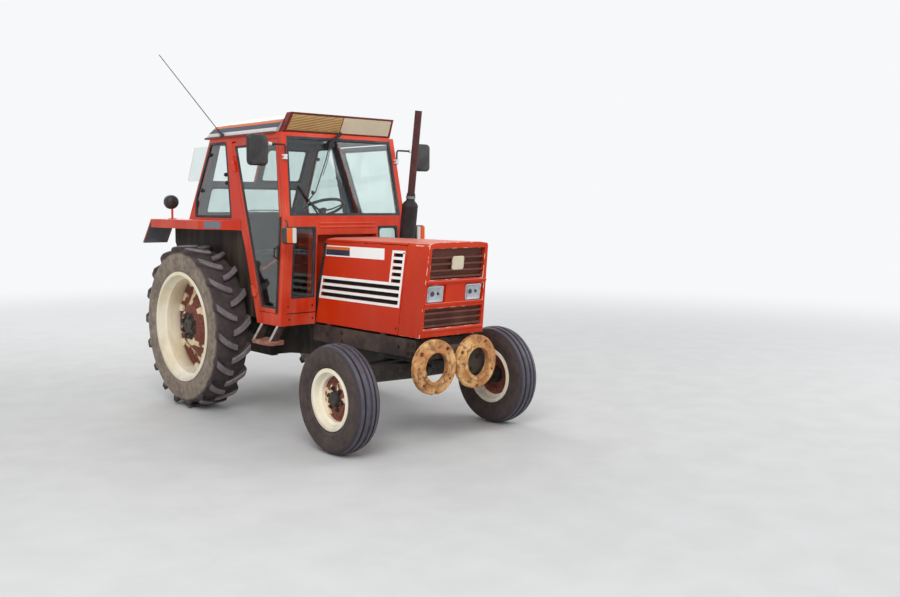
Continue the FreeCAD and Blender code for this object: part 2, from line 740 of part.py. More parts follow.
def make_bonnet():
    top = s.bonnet_top_z
    wall = s.bonnet_wall
    gap = s.door_gap

    nose_side = prism("nose_side", "YZ", [
        (-s.nose_seam_low, s.bonnet_bottom), (-lean_y(s.nose_seam_low, top), top),
        (-lean_y(nose_low, top), top), (-nose_low, s.bonnet_bottom),
    ], -400, 400)
    nose_front = prism("nose_front", "XZ", bonnet_front_view(0, s.bonnet_bottom, top), -s.nose_reach - 380, -s.nose_seam_low + 280)
    hollow_side = prism("nose_hollow_side", "YZ", [
        (-s.nose_seam_low + 50, s.bonnet_bottom + wall), (-lean_y(s.nose_seam_low, top) + 50, top - wall),
        (-lean_y(nose_low - s.nose_wall, top - wall), top - wall),
        (-lean_y(nose_low - s.nose_wall, s.bonnet_bottom + wall), s.bonnet_bottom + wall),
    ], -400, 400)
    hollow_front = prism("nose_hollow_front", "XZ",
                         bonnet_front_view(wall, s.bonnet_bottom + 1, top - wall), -s.nose_reach - 380, -s.nose_seam_low + 280)
    hollow = common("nose_hollow", [hollow_side, hollow_front])
    grilles = {"upper": (1245, 1470, 262), "lower": (886, 1034, 284)}
    windows = [box(f"grille_window_{word}", (-half, half), (-s.nose_reach - 80, -s.nose_seam_low - 120), (low, high))
               for word, (low, high, half) in grilles.items()]
    recesses = []
    lamps = []
    for word, side in (("left", 1), ("right", -1)):
        middle = side * s.lamp_x
        recess_half = s.lamp_width / 2 + 16
        low, high = s.lamp_z - s.lamp_height / 2 - 12, s.lamp_z + s.lamp_height / 2 + 8
        recess = prism(f"lamp_recess_{word}", "YZ", [
            (-s.nose_reach - 180, low), (-lean_y(nose_low - 26, low), low), (-lean_y(nose_low - 26, high), high),
            (-s.nose_reach - 180, high),
        ], middle - recess_half, middle + recess_half)
        recesses.append(recess)
        low, high = s.lamp_z - s.lamp_height / 2, s.lamp_z + s.lamp_height / 2
        lamps.append(prism(f"headlamp_{word}", "YZ", [
            (-lean_y(nose_low - 8, low), low), (-lean_y(nose_low - 26, low), low),
            (-lean_y(nose_low - 26, high), high), (-lean_y(nose_low - 8, high), high),
        ], middle - s.lamp_width / 2, middle + s.lamp_width / 2))
    nose = cut("bonnet_nose", common("nose_block", [nose_side, nose_front]), [hollow, *windows, *recesses])
    headlamps = gathered("Compound", "headlamps", lamps)

    panels = []
    for word, (low, high, half) in grilles.items():
        back = nose_low - s.nose_wall + 8
        panels.append(prism(f"grille_back_{word}", "YZ", [
            (-lean_y(back, low), low), (-lean_y(back - 8, low), low),
            (-lean_y(back - 8, high), high), (-lean_y(back, high), high),
        ], -half, half))
        count = int((high - low) / float(s.slat_pitch))
        for number in range(count):
            z = low + 20 + number * s.slat_pitch
            panels.append(prism(f"slat_{word}_{number}", "YZ", [
                (-lean_y(back - 2, z), z), (-lean_y(back - 2, z), z + s.slat_height),
                (-lean_y(nose_low - 5, z), z + s.slat_height - 9), (-lean_y(nose_low - 5, z), z - 9),
            ], -half, half))
    slats = fused("grilles", panels)

    seam = s.nose_seam_low - gap
    side_view = prism("side_panel_view", "YZ", [
        (-s.bonnet_rear_low, s.bonnet_bottom), (-rear_edge_y(s.bonnet_side_top), s.bonnet_side_top),
        (-lean_y(seam, s.bonnet_side_top), s.bonnet_side_top), (-seam, s.bonnet_bottom),
    ], 0, 400, holes=vent_slots())
    side_front = prism("side_panel_front", "XZ", [
        (bonnet_half(s.bonnet_bottom, wall), s.bonnet_bottom), (bonnet_half(s.bonnet_bottom), s.bonnet_bottom),
        (bonnet_half(s.bonnet_side_top), s.bonnet_side_top),
        (bonnet_half(s.bonnet_side_top, wall), s.bonnet_side_top),
    ], -s.nose_reach - 380, -1000)
    sides = pair("bonnet_sides", common("side_panel_left", [side_view, side_front]))

    lid_low = s.bonnet_side_top + s.lid_gap
    hinge_y = -rear_edge_y(lid_low) - 12
    lid_side = prism("lid_side", "YZ", [
        (hinge_y - 8, lid_low), (hinge_y - 8, top), (-lean_y(seam, top), top), (-lean_y(seam, lid_low), lid_low),
    ], -400, 400)
    hinge_z = lid_low - 14
    eyes = [box(f"lid_eye_{word}", (side * 150 - 10, side * 150 + 10), (hinge_y - 12, hinge_y + 10),
                (hinge_z - 12, lid_low + 4)) for word, side in (("left", 1), ("right", -1))]
    lid_front = prism("lid_front", "XZ", bonnet_front_view(0, lid_low - 30, top), -s.nose_reach - 380, -1000)
    lid_plate = common("lid_plate", [lid_side, lid_front])
    lid = cut("bonnet_top", fused("lid_with_eyes", [lid_plate, *eyes]),
              [bore("lid_eye_bore", "X", (hinge_y, hinge_z), 6, -200, 200, 12)])

    inner = bonnet_half(s.engine_top, wall)
    bulkhead_front = prism("bulkhead_front", "XZ", [
        (-inner, s.engine_top), (inner, s.engine_top),
        (bonnet_half(s.bonnet_side_top, wall), s.bonnet_side_top),
        (-bonnet_half(s.bonnet_side_top, wall), s.bonnet_side_top),
    ], -s.nose_reach - 380, -1000)
    bulkhead_side = prism("bulkhead_side", "YZ", [
        (-rear_edge_y(s.engine_top) - 12, s.engine_top), (-rear_edge_y(s.engine_top) - 28, s.engine_top),
        (-rear_edge_y(hinge_z - 22) - 28, hinge_z - 22), (-rear_edge_y(hinge_z - 22) - 12, hinge_z - 22),
    ], -400, 400)
    bearers = [box(f"hinge_bearer_{word}", (side * 120 - 10, side * 120 + 10), (hinge_y - 12, hinge_y + 10),
                   (hinge_z - 30, hinge_z + 8)) for word, side in (("left", 1), ("right", -1))]
    hinge_pin = rod("lid_pin", "X", (hinge_y, hinge_z), 6, -165, 165, 12)
    bulkhead = fused("bonnet_bulkhead", [common("bulkhead_plate", [bulkhead_front, bulkhead_side]),
                                         *bearers, hinge_pin])
    return [nose, headlamps, slats, sides, lid, bulkhead]


def vent_slots():
    """Slot outlines of the side panel's vent: three long ones and a column of short ones ahead."""
    pitch = s.vent_slot + s.vent_bar
    slots = []
    for number in range(3):
        low = s.vent_bottom + s.vent_bar * 0 + number * pitch
        high = low + s.vent_slot
        slots.append([
            (-rear_edge_y(low) - 60, low), (-rear_edge_y(high) - 60, high),
            (-lean_y(s.nose_seam_low - 40, high), high), (-lean_y(s.nose_seam_low - 40, low), low),
        ])
    for number in range(5):
        low = s.vent_bottom + 3 * pitch + number * (s.vent_slot * 0.85 + s.vent_bar * 0.95)
        high = low + s.vent_slot * 0.85
        slots.append([
            (-lean_y(s.nose_seam_low - 150, low), low), (-lean_y(s.nose_seam_low - 150, high), high),
            (-lean_y(s.nose_seam_low - 40, high), high), (-lean_y(s.nose_seam_low - 40, low), low),
        ])
    return slots


def make_exhaust():
    radius = float(s.muffler_radius)
    pipe = float(s.pipe_radius)
    drum, length = float(s.muffler_length), float(s.exhaust_length)
    stack = flat_ring([
        (0, 0), (0, radius * 0.7), (22, radius), (drum - 30, radius), (drum, pipe + 8), (drum + 55, pipe + 6),
        (drum + 60, pipe), (length, pipe), (length, pipe - 4), (length - 60, pipe - 4), (length - 60, 0),
    ], 20)
    stack.rotate(Vector(0, 0, 0), Y, -90)
    reach = float(s.muffler_x - bonnet_half(s.exhaust_foot_z + 20)) - 0.3
    elbow = solid_rod(Vector(-reach, 0, 55), Vector(0, 0, 55), 32, 12)
    piece = stack.fuse(elbow).removeSplitter()
    return [made("exhaust", piece, s.muffler_x, -s.exhaust_foot_y, s.exhaust_foot_z, Rotation(X, float(s.exhaust_lean)))]


# Cab

def b_post_y(z, shift=0):
    """The y of the slanting middle post's rear edge at a height."""
    slope = (s.b_post_low - s.b_post_top) / (s.cab_eave - s.cab_bottom)
    return -(s.b_post_top + slope * (s.cab_eave - z)) - shift


def a_post_y(z, shift=0):
    """The y of the leaning front post's front face above the waist."""
    slope = (s.cab_front - s.cab_front_top) / (s.cab_eave - s.cab_waist)
    return -(s.cab_front - slope * (z - s.cab_waist)) + shift


def rear_y(z, shift=0):
    """The y of the cab's sloping rear edge above the rail."""
    slope = (s.cab_rear - s.cab_rear_top) / (s.cab_eave - s.fender_top)
    return s.cab_rear - slope * (z - s.fender_top) - shift


def door_outline(inset):
    """The door opening's corners moved in by an inset."""
    post = s.post_width + inset
    front_low = -s.cab_front + post
    return [
        (front_low, s.door_bottom + inset), (front_low, s.cab_waist),
        (a_post_y(s.door_top - inset, post), s.door_top - inset),
        (b_post_y(s.door_top - inset, s.b_post_width + inset), s.door_top - inset),
        (b_post_y(s.door_bottom + inset, s.b_post_width + inset), s.door_bottom + inset),
    ]


def door_edge():
    """The door's outer edge; its top corner by the hinge is cut off, because it rises as the door swings."""
    gap = s.door_gap
    low_front, waist, top_front, top_rear, low_rear = door_outline(gap)
    top = s.door_top - s.door_top_gap
    return [
        low_front, waist, (a_post_y(top, s.post_width + gap), top),
        (b_post_y(top, s.b_post_width + gap + s.door_corner), top),
        (b_post_y(top - s.door_top_gap, s.b_post_width + gap), top - s.door_top_gap), low_rear,
    ]


def quarter_outline(inset):
    """The quarter window's corners moved in by an inset."""
    low = s.fender_top + 28 + inset
    high = s.door_top - inset
    return [
        (b_post_y(low, -150) + inset, low), (b_post_y(high, -34) + inset, high),
        (rear_y(high, 34) - inset, high), (rear_y(low + 170, 26) - inset, low + 170),
        (rear_y(low, 110) - inset, low),
    ]


def side_point(y, z, out=0):
    """A point on the cab's left side from its place in the side view, with a distance out from the face."""
    lean = math.radians(float(s.cab_lean))
    up = float(z - s.cab_bottom)
    x = float(s.cab_half_width) + out * math.cos(lean) - up * math.sin(lean)
    return Vector(x, float(axle_y + y), float(s.cab_bottom) + out * math.sin(lean) + up * math.cos(lean))


def door_axis():
    """Two points on the door's hinge axis, which follows the slanting middle post just outside the cab."""
    shift = s.b_post_width + s.door_gap / 2
    out = float(s.door_eye_radius) + 1
    low, high = s.door_bottom + 160, s.door_top - 160
    return side_point(b_post_y(low, shift), low, out), side_point(b_post_y(high, shift), high, out)


def door_hinge_parts():
    """Pins and ears on the middle post, and the eyes on the door that turn on them."""
    low, high = door_axis()
    up = (high - low).normalize()
    lean = math.radians(float(s.cab_lean))
    out = Vector(math.cos(lean), 0, math.sin(lean))
    ahead = out.cross(up).normalize()
    if ahead.y > 0:
        ahead = ahead * -1
    radius = float(s.door_eye_radius)
    half = float(s.door_eye_length) / 2
    gap = float(s.clearance)
    foot = radius + 1

    def strap(middle, near, far, bottom, top):
        """A flat strap on the cab's side face, from one distance ahead of the axis to another."""
        corners = [middle + ahead * near - out * foot, middle + ahead * far - out * foot,
                   middle + ahead * far - out * (foot - 7), middle + ahead * near - out * (foot - 7)]
        face = Part.Face(Part.makePolygon([point + up * bottom for point in corners + corners[:1]]))
        return face.extrude(up * (top - bottom))

    post, door = [], []
    for number, middle in enumerate((low, high)):
        eye = solid_rod(middle - up * half, middle + up * half, radius, 6)
        hole = solid_rod(middle - up * 50, middle + up * 50, (float(s.door_pin_radius) + gap) * 1.09, 8)
        arm = strap(middle, 0, 34, -half, half)
        door.append(made(f"door_eye_{number}", eye.fuse(arm).cut(hole), 0, -axle_y, 0))
        pin = solid_rod(middle - up * (half + 16), middle + up * (half + 16), float(s.door_pin_radius), 8)
        parts = []
        for bottom, top in ((-half - 16, -half - gap), (half + gap, half + 16)):
            parts.append(solid_rod(middle + up * bottom, middle + up * top, radius, 6))
            parts.append(strap(middle, -34, 0, bottom, top))
        post.append(made(f"post_hinge_{number}", pin.fuse(parts), 0, -axle_y, 0))
    return post, door


def make_cab_sides():
    wall = s.cab_wall
    frame_plate = lean_in(prism("cab_side_plate", "YZ", [
        (-s.cab_front, s.cab_bottom), (-s.cab_front, s.cab_waist), (-s.cab_front_top, s.cab_eave),
        (s.cab_rear_top, s.cab_eave), (s.cab_rear, s.fender_top), (s.cab_rear, s.cab_rail_bottom),
        (b_post_y(s.cab_rail_bottom), s.cab_rail_bottom), (b_post_y(s.cab_bottom), s.cab_bottom),
    ], s.cab_half_width - wall, s.cab_half_width, holes=[door_outline(0), quarter_outline(0)]),
        s.cab_half_width - wall)
    post_hinges, door_hinges = door_hinge_parts()
    sides = pair("cab_side_frames", fused("cab_side_left", [frame_plate, *post_hinges]))

    gap = s.door_gap
    bar = s.door_bar
    start = s.cab_half_width - s.door_wall
    plate = lean_in(prism("door_plate", "YZ", door_edge(), start, s.cab_half_width,
                          holes=[door_outline(gap + bar)]), start)
    door = fused("door_frame_left", [plate, *door_hinges])
    inner = s.cab_half_width - s.door_wall / 2 - s.glass_wall / 2
    glass = lean_in(prism("door_glass_left", "YZ", door_outline(gap + bar + s.seal_gap), inner, inner + s.glass_wall),
                    inner)
    inner = s.cab_half_width - s.glass_wall - 6
    quarter = lean_in(prism("quarter_glass_left", "YZ", quarter_outline(s.seal_gap), inner, inner + s.glass_wall), inner)
    return [sides, door, mirrored("door_frame_right", door), glass, mirrored("door_glass_right", glass)], quarter


def recess_half(z):
    """Half the width of the recess that takes the bonnet's rear end."""
    return bonnet_half(z) + s.recess_gap


def make_cab_walls(quarter):
    bottom, waist, eave = s.cab_bottom, s.cab_waist, s.cab_eave
    wall = s.cab_wall + s.seal_gap
    low_z, high_z = s.low_window_bottom, s.low_window_top
    low_in, high_in = recess_half(low_z) + s.low_window_gap, recess_half(high_z) + s.low_window_gap
    low_out, high_out = cab_half(low_z, s.window_margin), cab_half(high_z, s.window_margin)

    def window_outline(side, inset):
        return [
            (side * (low_in + inset), low_z + inset), (side * (low_out - inset), low_z + inset),
            (side * (high_out - inset), high_z - inset), (side * (high_in + inset), high_z - inset),
        ]

    top, sheet = s.recess_top, s.recess_wall
    face = prism("front_wall_face", "XZ", [
        (-cab_half(bottom, wall), bottom), (-recess_half(bottom), bottom), (-recess_half(top), top),
        (recess_half(top), top), (recess_half(bottom), bottom), (cab_half(bottom, wall), bottom),
        (cab_half(waist, wall), waist), (-cab_half(waist, wall), waist),
    ], -s.cab_front, -s.cab_front + s.panel_wall, holes=[window_outline(1, 0), window_outline(-1, 0)])
    start, end = -s.cab_front + s.panel_wall, -s.cab_front + s.panel_wall + s.recess_depth
    low, high = s.floor_z, top + sheet
    shell = prism("recess_shell", "XZ", [
        (-recess_half(low) - sheet, low), (recess_half(low) + sheet, low), (recess_half(high) + sheet, high),
        (-recess_half(high) - sheet, high),
    ], start, end + sheet)
    low = bottom - 100
    hollow = prism("recess_hollow", "XZ", [
        (-recess_half(low), low), (recess_half(low), low), (recess_half(top), top), (-recess_half(top), top),
    ], start - 10, end)
    front = fused("cab_front_wall", [face, cut("recess_walls", shell, [hollow])])

    low_panes = [prism(f"low_pane_{word}", "XZ", window_outline(side, s.seal_gap),
                       -s.cab_front + 8, -s.cab_front + 8 + s.glass_wall) for word, side in (("left", 1), ("right", -1))]

    screen_top = eave - 36
    screen_side = prism("screen_side", "YZ", [
        (a_post_y(waist, 12), waist), (a_post_y(screen_top, 12), screen_top),
        (a_post_y(screen_top, 12 + s.glass_wall), screen_top), (a_post_y(waist, 12 + s.glass_wall), waist),
    ], -700, 700)
    screen_front = prism("screen_front", "XZ", [
        (-cab_half(waist, wall), waist), (cab_half(waist, wall), waist),
        (cab_half(screen_top, wall), screen_top), (-cab_half(screen_top, wall), screen_top),
    ], -1400, -900)
    windscreen = common("windscreen", [screen_side, screen_front])

    # rear wall: an upright lower panel and a sloping upper frame with three windows
    lower = prism("rear_lower", "XZ", [
        (-s.fender_wall_x + s.seal_gap, s.floor_z), (s.fender_wall_x - s.seal_gap, s.floor_z),
        (s.fender_wall_x - s.seal_gap, s.fender_top), (-s.fender_wall_x + s.seal_gap, s.fender_top),
    ], s.cab_rear - s.panel_wall, s.cab_rear)
    deep = s.panel_wall
    upper_side = prism("rear_upper_side", "YZ", [
        (s.cab_rear, s.fender_top - 0.5), (s.cab_rear, s.fender_top), (rear_y(eave), eave),
        (rear_y(eave, deep), eave), (s.cab_rear - deep, s.fender_top), (s.cab_rear - deep, s.fender_top - 0.5),
    ], -700, 700)
    rear_half = cab_half(eave, 98)
    openings = {
        "wide": (-rear_half, rear_half, s.fender_top + 50, s.fender_top + 300),
        "left": (28, rear_half, s.fender_top + 350, eave - 60),
        "right": (-rear_half, -28, s.fender_top + 350, eave - 60),
    }

    def rectangle(word, inset):
        x0, x1, z0, z1 = openings[word]
        return [(x0 + inset, z0 + inset), (x1 - inset, z0 + inset), (x1 - inset, z1 - inset), (x0 + inset, z1 - inset)]

    upper_front = prism("rear_upper_front", "XZ", [
        (-cab_half(s.fender_top, wall), s.fender_top - 20), (cab_half(s.fender_top, wall), s.fender_top - 20),
        (cab_half(s.fender_top, wall), s.fender_top), (cab_half(eave, wall), eave), (-cab_half(eave, wall), eave),
        (-cab_half(s.fender_top, wall), s.fender_top),
    ], -200, 600, holes=[rectangle(word, 0) for word in openings])
    rest_z = s.shaft_z + s.top_link_length * 0.84
    rest_y = s.case_rear + s.top_link_back - s.top_link_lean * 0.84 - s.top_link_radius * 1.12
    rest = box("top_link_rest", (-18, 18), (s.cab_rear, rest_y), (rest_z - 12, rest_z + 12))
    rear = fused("cab_rear_wall", [lower, common("rear_upper", [upper_side, upper_front]), rest])

    panes = []
    for word in ("wide", "left"):
        x0, x1, z0, z1 = openings[word]
        slab = prism(f"rear_pane_side_{word}", "YZ", [
            (rear_y(z0, 12), z0), (rear_y(z1, 12), z1), (rear_y(z1, 12 + s.glass_wall), z1),
            (rear_y(z0, 12 + s.glass_wall), z0),
        ], -700, 700)
        face = prism(f"rear_pane_front_{word}", "XZ", rectangle(word, s.seal_gap), -200, 600)
        panes.append(common(f"rear_pane_{word}", [slab, face]))
    quarter_other = mirrored("quarter_glass_right", quarter)
    fixed = gathered("Compound", "fixed_windows", [quarter, quarter_other, *low_panes, *panes])

    # the right-hand upper rear pane stands open on its side hinges
    x0, x1, z0, z1 = openings["right"]
    leaf = prism("leaf_glass", "YZ", [
        (rear_y(z0) + 10, z0), (rear_y(z1) + 10, z1), (rear_y(z1) + 430, z1), (rear_y(z0) + 430, z0),
    ], x0 - 14, x0 - 14 + s.glass_wall)
    hinges = [prism(f"leaf_hinge_{number}", "YZ", [
        (rear_y(z - 14), z - 14), (rear_y(z + 14), z + 14), (rear_y(z) + 40, z + 14), (rear_y(z) + 40, z - 14),
    ], x0 - 22, x0 - 14) for number, z in enumerate((z0 + 50, z1 - 50))]
    open_leaf = fused("rear_leaf", [leaf, *hinges])
    return [front, windscreen, rear, fixed, open_leaf]


def make_roof_and_floor():
    eave = s.cab_eave
    front_low = s.cab_front_top - 15
    back_low = front_low - s.visor_depth
    roof_side = prism("roof_side", "YZ", [
        (-back_low, eave), (-back_low - s.visor_lean, s.roof_top_front), (-back_low + 200, s.roof_top_front + 6),
        (-s.roof_rear - 100, s.roof_top_rear + 22), (s.roof_rear - 110, s.roof_top_rear), (s.roof_rear, eave + 10),
        (s.roof_rear, eave),
    ], -700, 700)
    half = s.roof_half_width
    roof_front = prism("roof_front", "XZ", [
        (-half, eave), (half, eave), (half - 4, eave + 28), (half - 42, eave + 104), (half - 150, eave + 142),
        (half - 380, eave + 160), (380 - half, eave + 160), (150 - half, eave + 142), (42 - half, eave + 104),
        (4 - half, eave + 28),
    ], -1300, 300)
    roof = common("cab_roof", [roof_side, roof_front])

    visor_half = half - 32
    visor_side = prism("visor_side", "YZ", [
        (-front_low, eave), (-front_low - s.visor_lean, s.roof_top_front),
        (-back_low - s.visor_lean - s.seal_gap, s.roof_top_front), (-back_low - s.seal_gap, eave),
    ], -700, 700)
    visor_front = prism("visor_front", "XZ", [
        (-visor_half, eave), (visor_half, eave), (visor_half - 26, s.roof_top_front),
        (26 - visor_half, s.roof_top_front),
    ], -1300, -900)
    frame = s.visor_frame
    slope = s.visor_lean / (s.roof_top_front - eave)
    low, high = eave + frame * 0.6, s.roof_top_front - frame * 0.6
    recess_side = prism("visor_recess_side", "YZ", [
        (-front_low - slope * (low - eave) - 30, low), (-front_low - slope * (high - eave) - 30, high),
        (-front_low - slope * (high - eave) + 26, high), (-front_low - slope * (low - eave) + 26, low),
    ], -visor_half + 2 * frame, -frame)
    louvres = []
    for number in range(5):
        z = low + 6 + number * 24
        y = -front_low - slope * (z - eave)
        louvres.append(prism(f"visor_louvre_{number}", "YZ", [
            (y + 2, z), (y + 2, z + 5), (y + 27, z + 19), (y + 27, z + 13),
        ], -visor_half + 2 * frame - 2, -frame + 2))
    header = prism("screen_header", "YZ", [
        (a_post_y(eave - 36, 4), eave - 36), (a_post_y(eave, 4), eave), (a_post_y(eave, 44), eave),
        (a_post_y(eave - 36, 44), eave - 36),
    ], -cab_half(eave, s.cab_wall + 1), cab_half(eave, s.cab_wall + 1))
    hollowed = cut("visor_hollowed", common("visor_block", [visor_side, visor_front]), [recess_side])
    visor = fused("roof_visor", [hollowed, *louvres, header])

    inner = s.fender_wall_x - s.seal_gap
    outer = cab_half(s.floor_z + s.floor_wall, s.cab_wall + s.seal_gap)
    turn = b_post_y(s.floor_z)
    front = -s.cab_front + s.panel_wall
    notch, notch_end = recess_half(s.floor_z) + s.recess_wall + 1, front + s.recess_depth + s.recess_wall
    floor = prism("cab_floor", "XY", [
        (-outer, front), (-notch, front), (-notch, notch_end), (notch, notch_end), (notch, front), (outer, front),
        (outer, turn - 1), (inner, turn - 1), (inner, s.cab_rear - s.panel_wall),
        (-inner, s.cab_rear - s.panel_wall), (-inner, turn - 1), (-outer, turn - 1),
    ], s.floor_z, s.floor_z + s.floor_wall)
    return [roof, visor, floor]


def make_fenders():
    sheet_z = s.fender_top - s.fender_sheet
    lip_low = s.fender_top - s.fender_lip
    wall = s.fender_sheet
    near = cab_half(lip_low) + 1
    x_in = s.fender_wall_x
    front_y = b_post_y(s.fender_top)
    back = s.cab_rear + 8
    top = prism("fender_plate", "XY", [
        (near, front_y), (s.fender_half_width, -s.fender_corner), (s.fender_half_width, s.fender_rear),
        (x_in, s.fender_rear), (x_in, back), (near, back),
    ], sheet_z, s.fender_top)
    lip = prism("fender_lip", "XY", [
        (near, front_y), (s.fender_half_width, -s.fender_corner), (s.fender_half_width, s.fender_rear),
        (x_in, s.fender_rear), (x_in, s.fender_rear - wall), (s.fender_half_width - wall, s.fender_rear - wall),
        (s.fender_half_width - wall, -s.fender_corner + 4), (near, front_y + 2 * wall),
    ], lip_low, s.fender_top)
    inner = prism("fender_inner", "YZ", [
        (b_post_y(s.cab_rail_bottom) + wall, s.cab_rail_bottom - 1), (b_post_y(s.floor_z) + wall, s.floor_z),
        (s.cab_rear, s.floor_z), (s.fender_rear - 120, 1250), (s.fender_rear, 1420),
        (s.fender_rear, s.fender_top), (back, s.fender_top), (back, s.cab_rail_bottom - 1),
    ], x_in, x_in + wall)
    strip_top = s.cab_rail_bottom - 5
    front_strip = prism("fender_front", "YZ", [
        (b_post_y(strip_top, -3), strip_top), (b_post_y(s.floor_z, -3), s.floor_z),
        (b_post_y(s.floor_z, -3) + wall, s.floor_z), (b_post_y(strip_top, -3) + wall, strip_top),
    ], x_in, cab_half(s.cab_rail_bottom))
    flap_x0, flap_x1 = x_in + wall, s.fender_half_width
    flap = prism("fender_flap", "YZ", [
        (s.fender_rear - 2, s.fender_top), (s.fender_rear, s.fender_top), (s.flap_reach, s.fender_top - 220),
        (s.flap_reach - 14, s.fender_top - 230), (s.fender_rear - 2, s.fender_top - 20),
    ], flap_x0, flap_x1)
    return [pair("fenders", fused("fender_left", [top, lip, inner, front_strip, flap]))]


# Driver's place

def make_controls():
    floor = s.floor_z + s.floor_wall
    wall_y = -s.cab_front + s.panel_wall + s.recess_depth + s.recess_wall
    dash = prism("dash_panel", "YZ", [
        (wall_y, floor), (-990, floor), (-970, 1330), (-1010, 1450), (wall_y, 1490),
    ], -220, 220)
    pedestal = prism("seat_base", "YZ", [
        (-400, floor), (20, floor), (60, s.seat_top - 125), (-430, s.seat_top - 125),
    ], -150, 150)
    half = s.seat_half_width
    cushion = box("seat_cushion", (-half, half), (-470, 30), (s.seat_top - 125, s.seat_top))
    back = prism("seat_back", "YZ", [
        (30, s.seat_top - 110), (124, s.seat_top - 110), (190, s.seat_top + 360), (110, s.seat_top + 360),
        (30, s.seat_top),
    ], -half + 10, half - 10)

    rake = math.radians(float(s.wheel_rake))
    up = Vector(0, math.sin(rake), math.cos(rake))
    radius = float(s.steering_wheel_radius)
    rim = float(s.steering_rim)
    ring = flat_ring([(-rim / 2, radius - rim / 2), (-rim / 2, radius), (rim / 2, radius), (rim / 2, radius - rim / 2),
                      (0, radius - rim * 0.8)], 24)
    hub = flat_ring([(-30, 0), (-30, 30), (12, 40), (12, 0)], 12)
    spokes = []
    for number in range(3):
        angle = 2 * math.pi * number / 3 + math.pi / 2
        end = Vector(0, math.cos(angle), math.sin(angle)) * (radius - rim / 2)
        spokes.append(solid_rod(end * 0.1, end, 7, 6))
    wheel = ring.fuse([hub, *spokes]).removeSplitter()
    turn = Rotation(up, X, up.cross(X), "XYZ")
    steering = made("steering_wheel", wheel, 0, -s.wheel_hub_y, s.wheel_hub_z, turn)
    tube_top = -up * (30 + float(s.clearance))
    tube = made("column_tube", solid_rod(-up * 560, tube_top, 24), 0, -s.wheel_hub_y, s.wheel_hub_z)
    dash_node = fused("dash_and_column", [dash, tube])

    sticks = []
    for number, (x, y, length, tilt) in enumerate([(190, -560, 360, 8), (260, -640, 300, -6), (-240, -520, 260, 5)]):
        lean = Vector(0, -math.sin(math.radians(tilt)), math.cos(math.radians(tilt)))
        boot = Part.makeBox(60, 80, 36, Vector(-30, -40, 0))
        knob = solid_rod(lean * (length - 26), lean * length, 19, 10)
        stick = solid_rod(lean * 20, lean * length, 8, 8).fuse([boot, knob])
        sticks.append(made(f"lever_{number}", stick.removeSplitter(), x, y, floor))
    levers = gathered("Compound", "levers", sticks)
    return [dash_node, pedestal, cushion, back, steering, levers]


# Steps, mirrors, lamps, aerial and wiper

def make_fittings():
    low = s.step_bottom
    tread = box("step_tread", (s.cab_half_width - 28, s.mirror_x), (-1275, -905), (low, low + s.step_wall))
    strap_x = s.cab_half_width - 28
    strap_top = s.cab_bottom - 28 * math.tan(math.radians(float(s.cab_lean))) - 0.3
    straps = [box(f"step_strap_{number}", (strap_x, strap_x + 20), (y, y + 40), (low, strap_top))
              for number, y in enumerate((-1215, -925))]
    steps = pair("steps", fused("step_left", [tread, *straps]))

    x, z = s.mirror_x, s.mirror_z
    post_x = cab_half(s.mirror_z + 50) - 12
    arm_y = 24 - s.mirror_y
    glass = box("mirror_case", (x - 88, x + 88), (-s.mirror_y - 20, 20 - s.mirror_y), (z - 120, z + 120))
    riser = rod("mirror_riser", "Z", (post_x, arm_y), 9, z - 70, z + 62, 8)
    reach = rod("mirror_reach", "X", (arm_y, z + 53), 9, post_x - 9, x, 8)
    clamp = box("mirror_clamp", (post_x - 14, post_x + 14), (arm_y - 12, a_post_y(s.mirror_z - 80, 0)),
                (z - 80, z - 50))
    mirrors = pair("mirrors", fused("mirror_left", [glass, riser, reach, clamp]))

    arm = box("indicator_arm", (cab_half(1560, 30), cab_half(1560, 2)), (-1345, -s.cab_front), (1545, 1572))
    case = box("indicator_case", (cab_half(1560, 6), cab_half(1560, -85)), (-1405, -1335), (1472, 1608))
    indicators = pair("indicator_lamps", fused("indicator_left", [arm, case]))

    stem = rod("lamp_stem", "Z", (s.fender_half_width - 100, 552), 10, s.fender_top, s.fender_top + 110, 8)
    drum = rod("lamp_drum", "Y", (s.fender_half_width - 100, s.fender_top + 158), 66, 512, 592)
    work = pair("rear_lamps", fused("rear_lamp_left", [stem, drum]))

    tip = Vector(0, 1185, 814)
    whip = solid_rod(Vector(0, 0, 0), tip, 4, 6).fuse(solid_rod(Vector(0, 0, 0), tip * 0.06, 11, 8))
    lug = Part.makeBox(24, 30, 24, Vector(-12, -15, -12))
    aerial = made("aerial", whip.fuse(lug).removeSplitter(), -s.roof_half_width - 12.3, -200, s.cab_eave + 14)
    return [steps, mirrors, indicators, work, aerial]


# Rear linkage, drawbar and power take-off

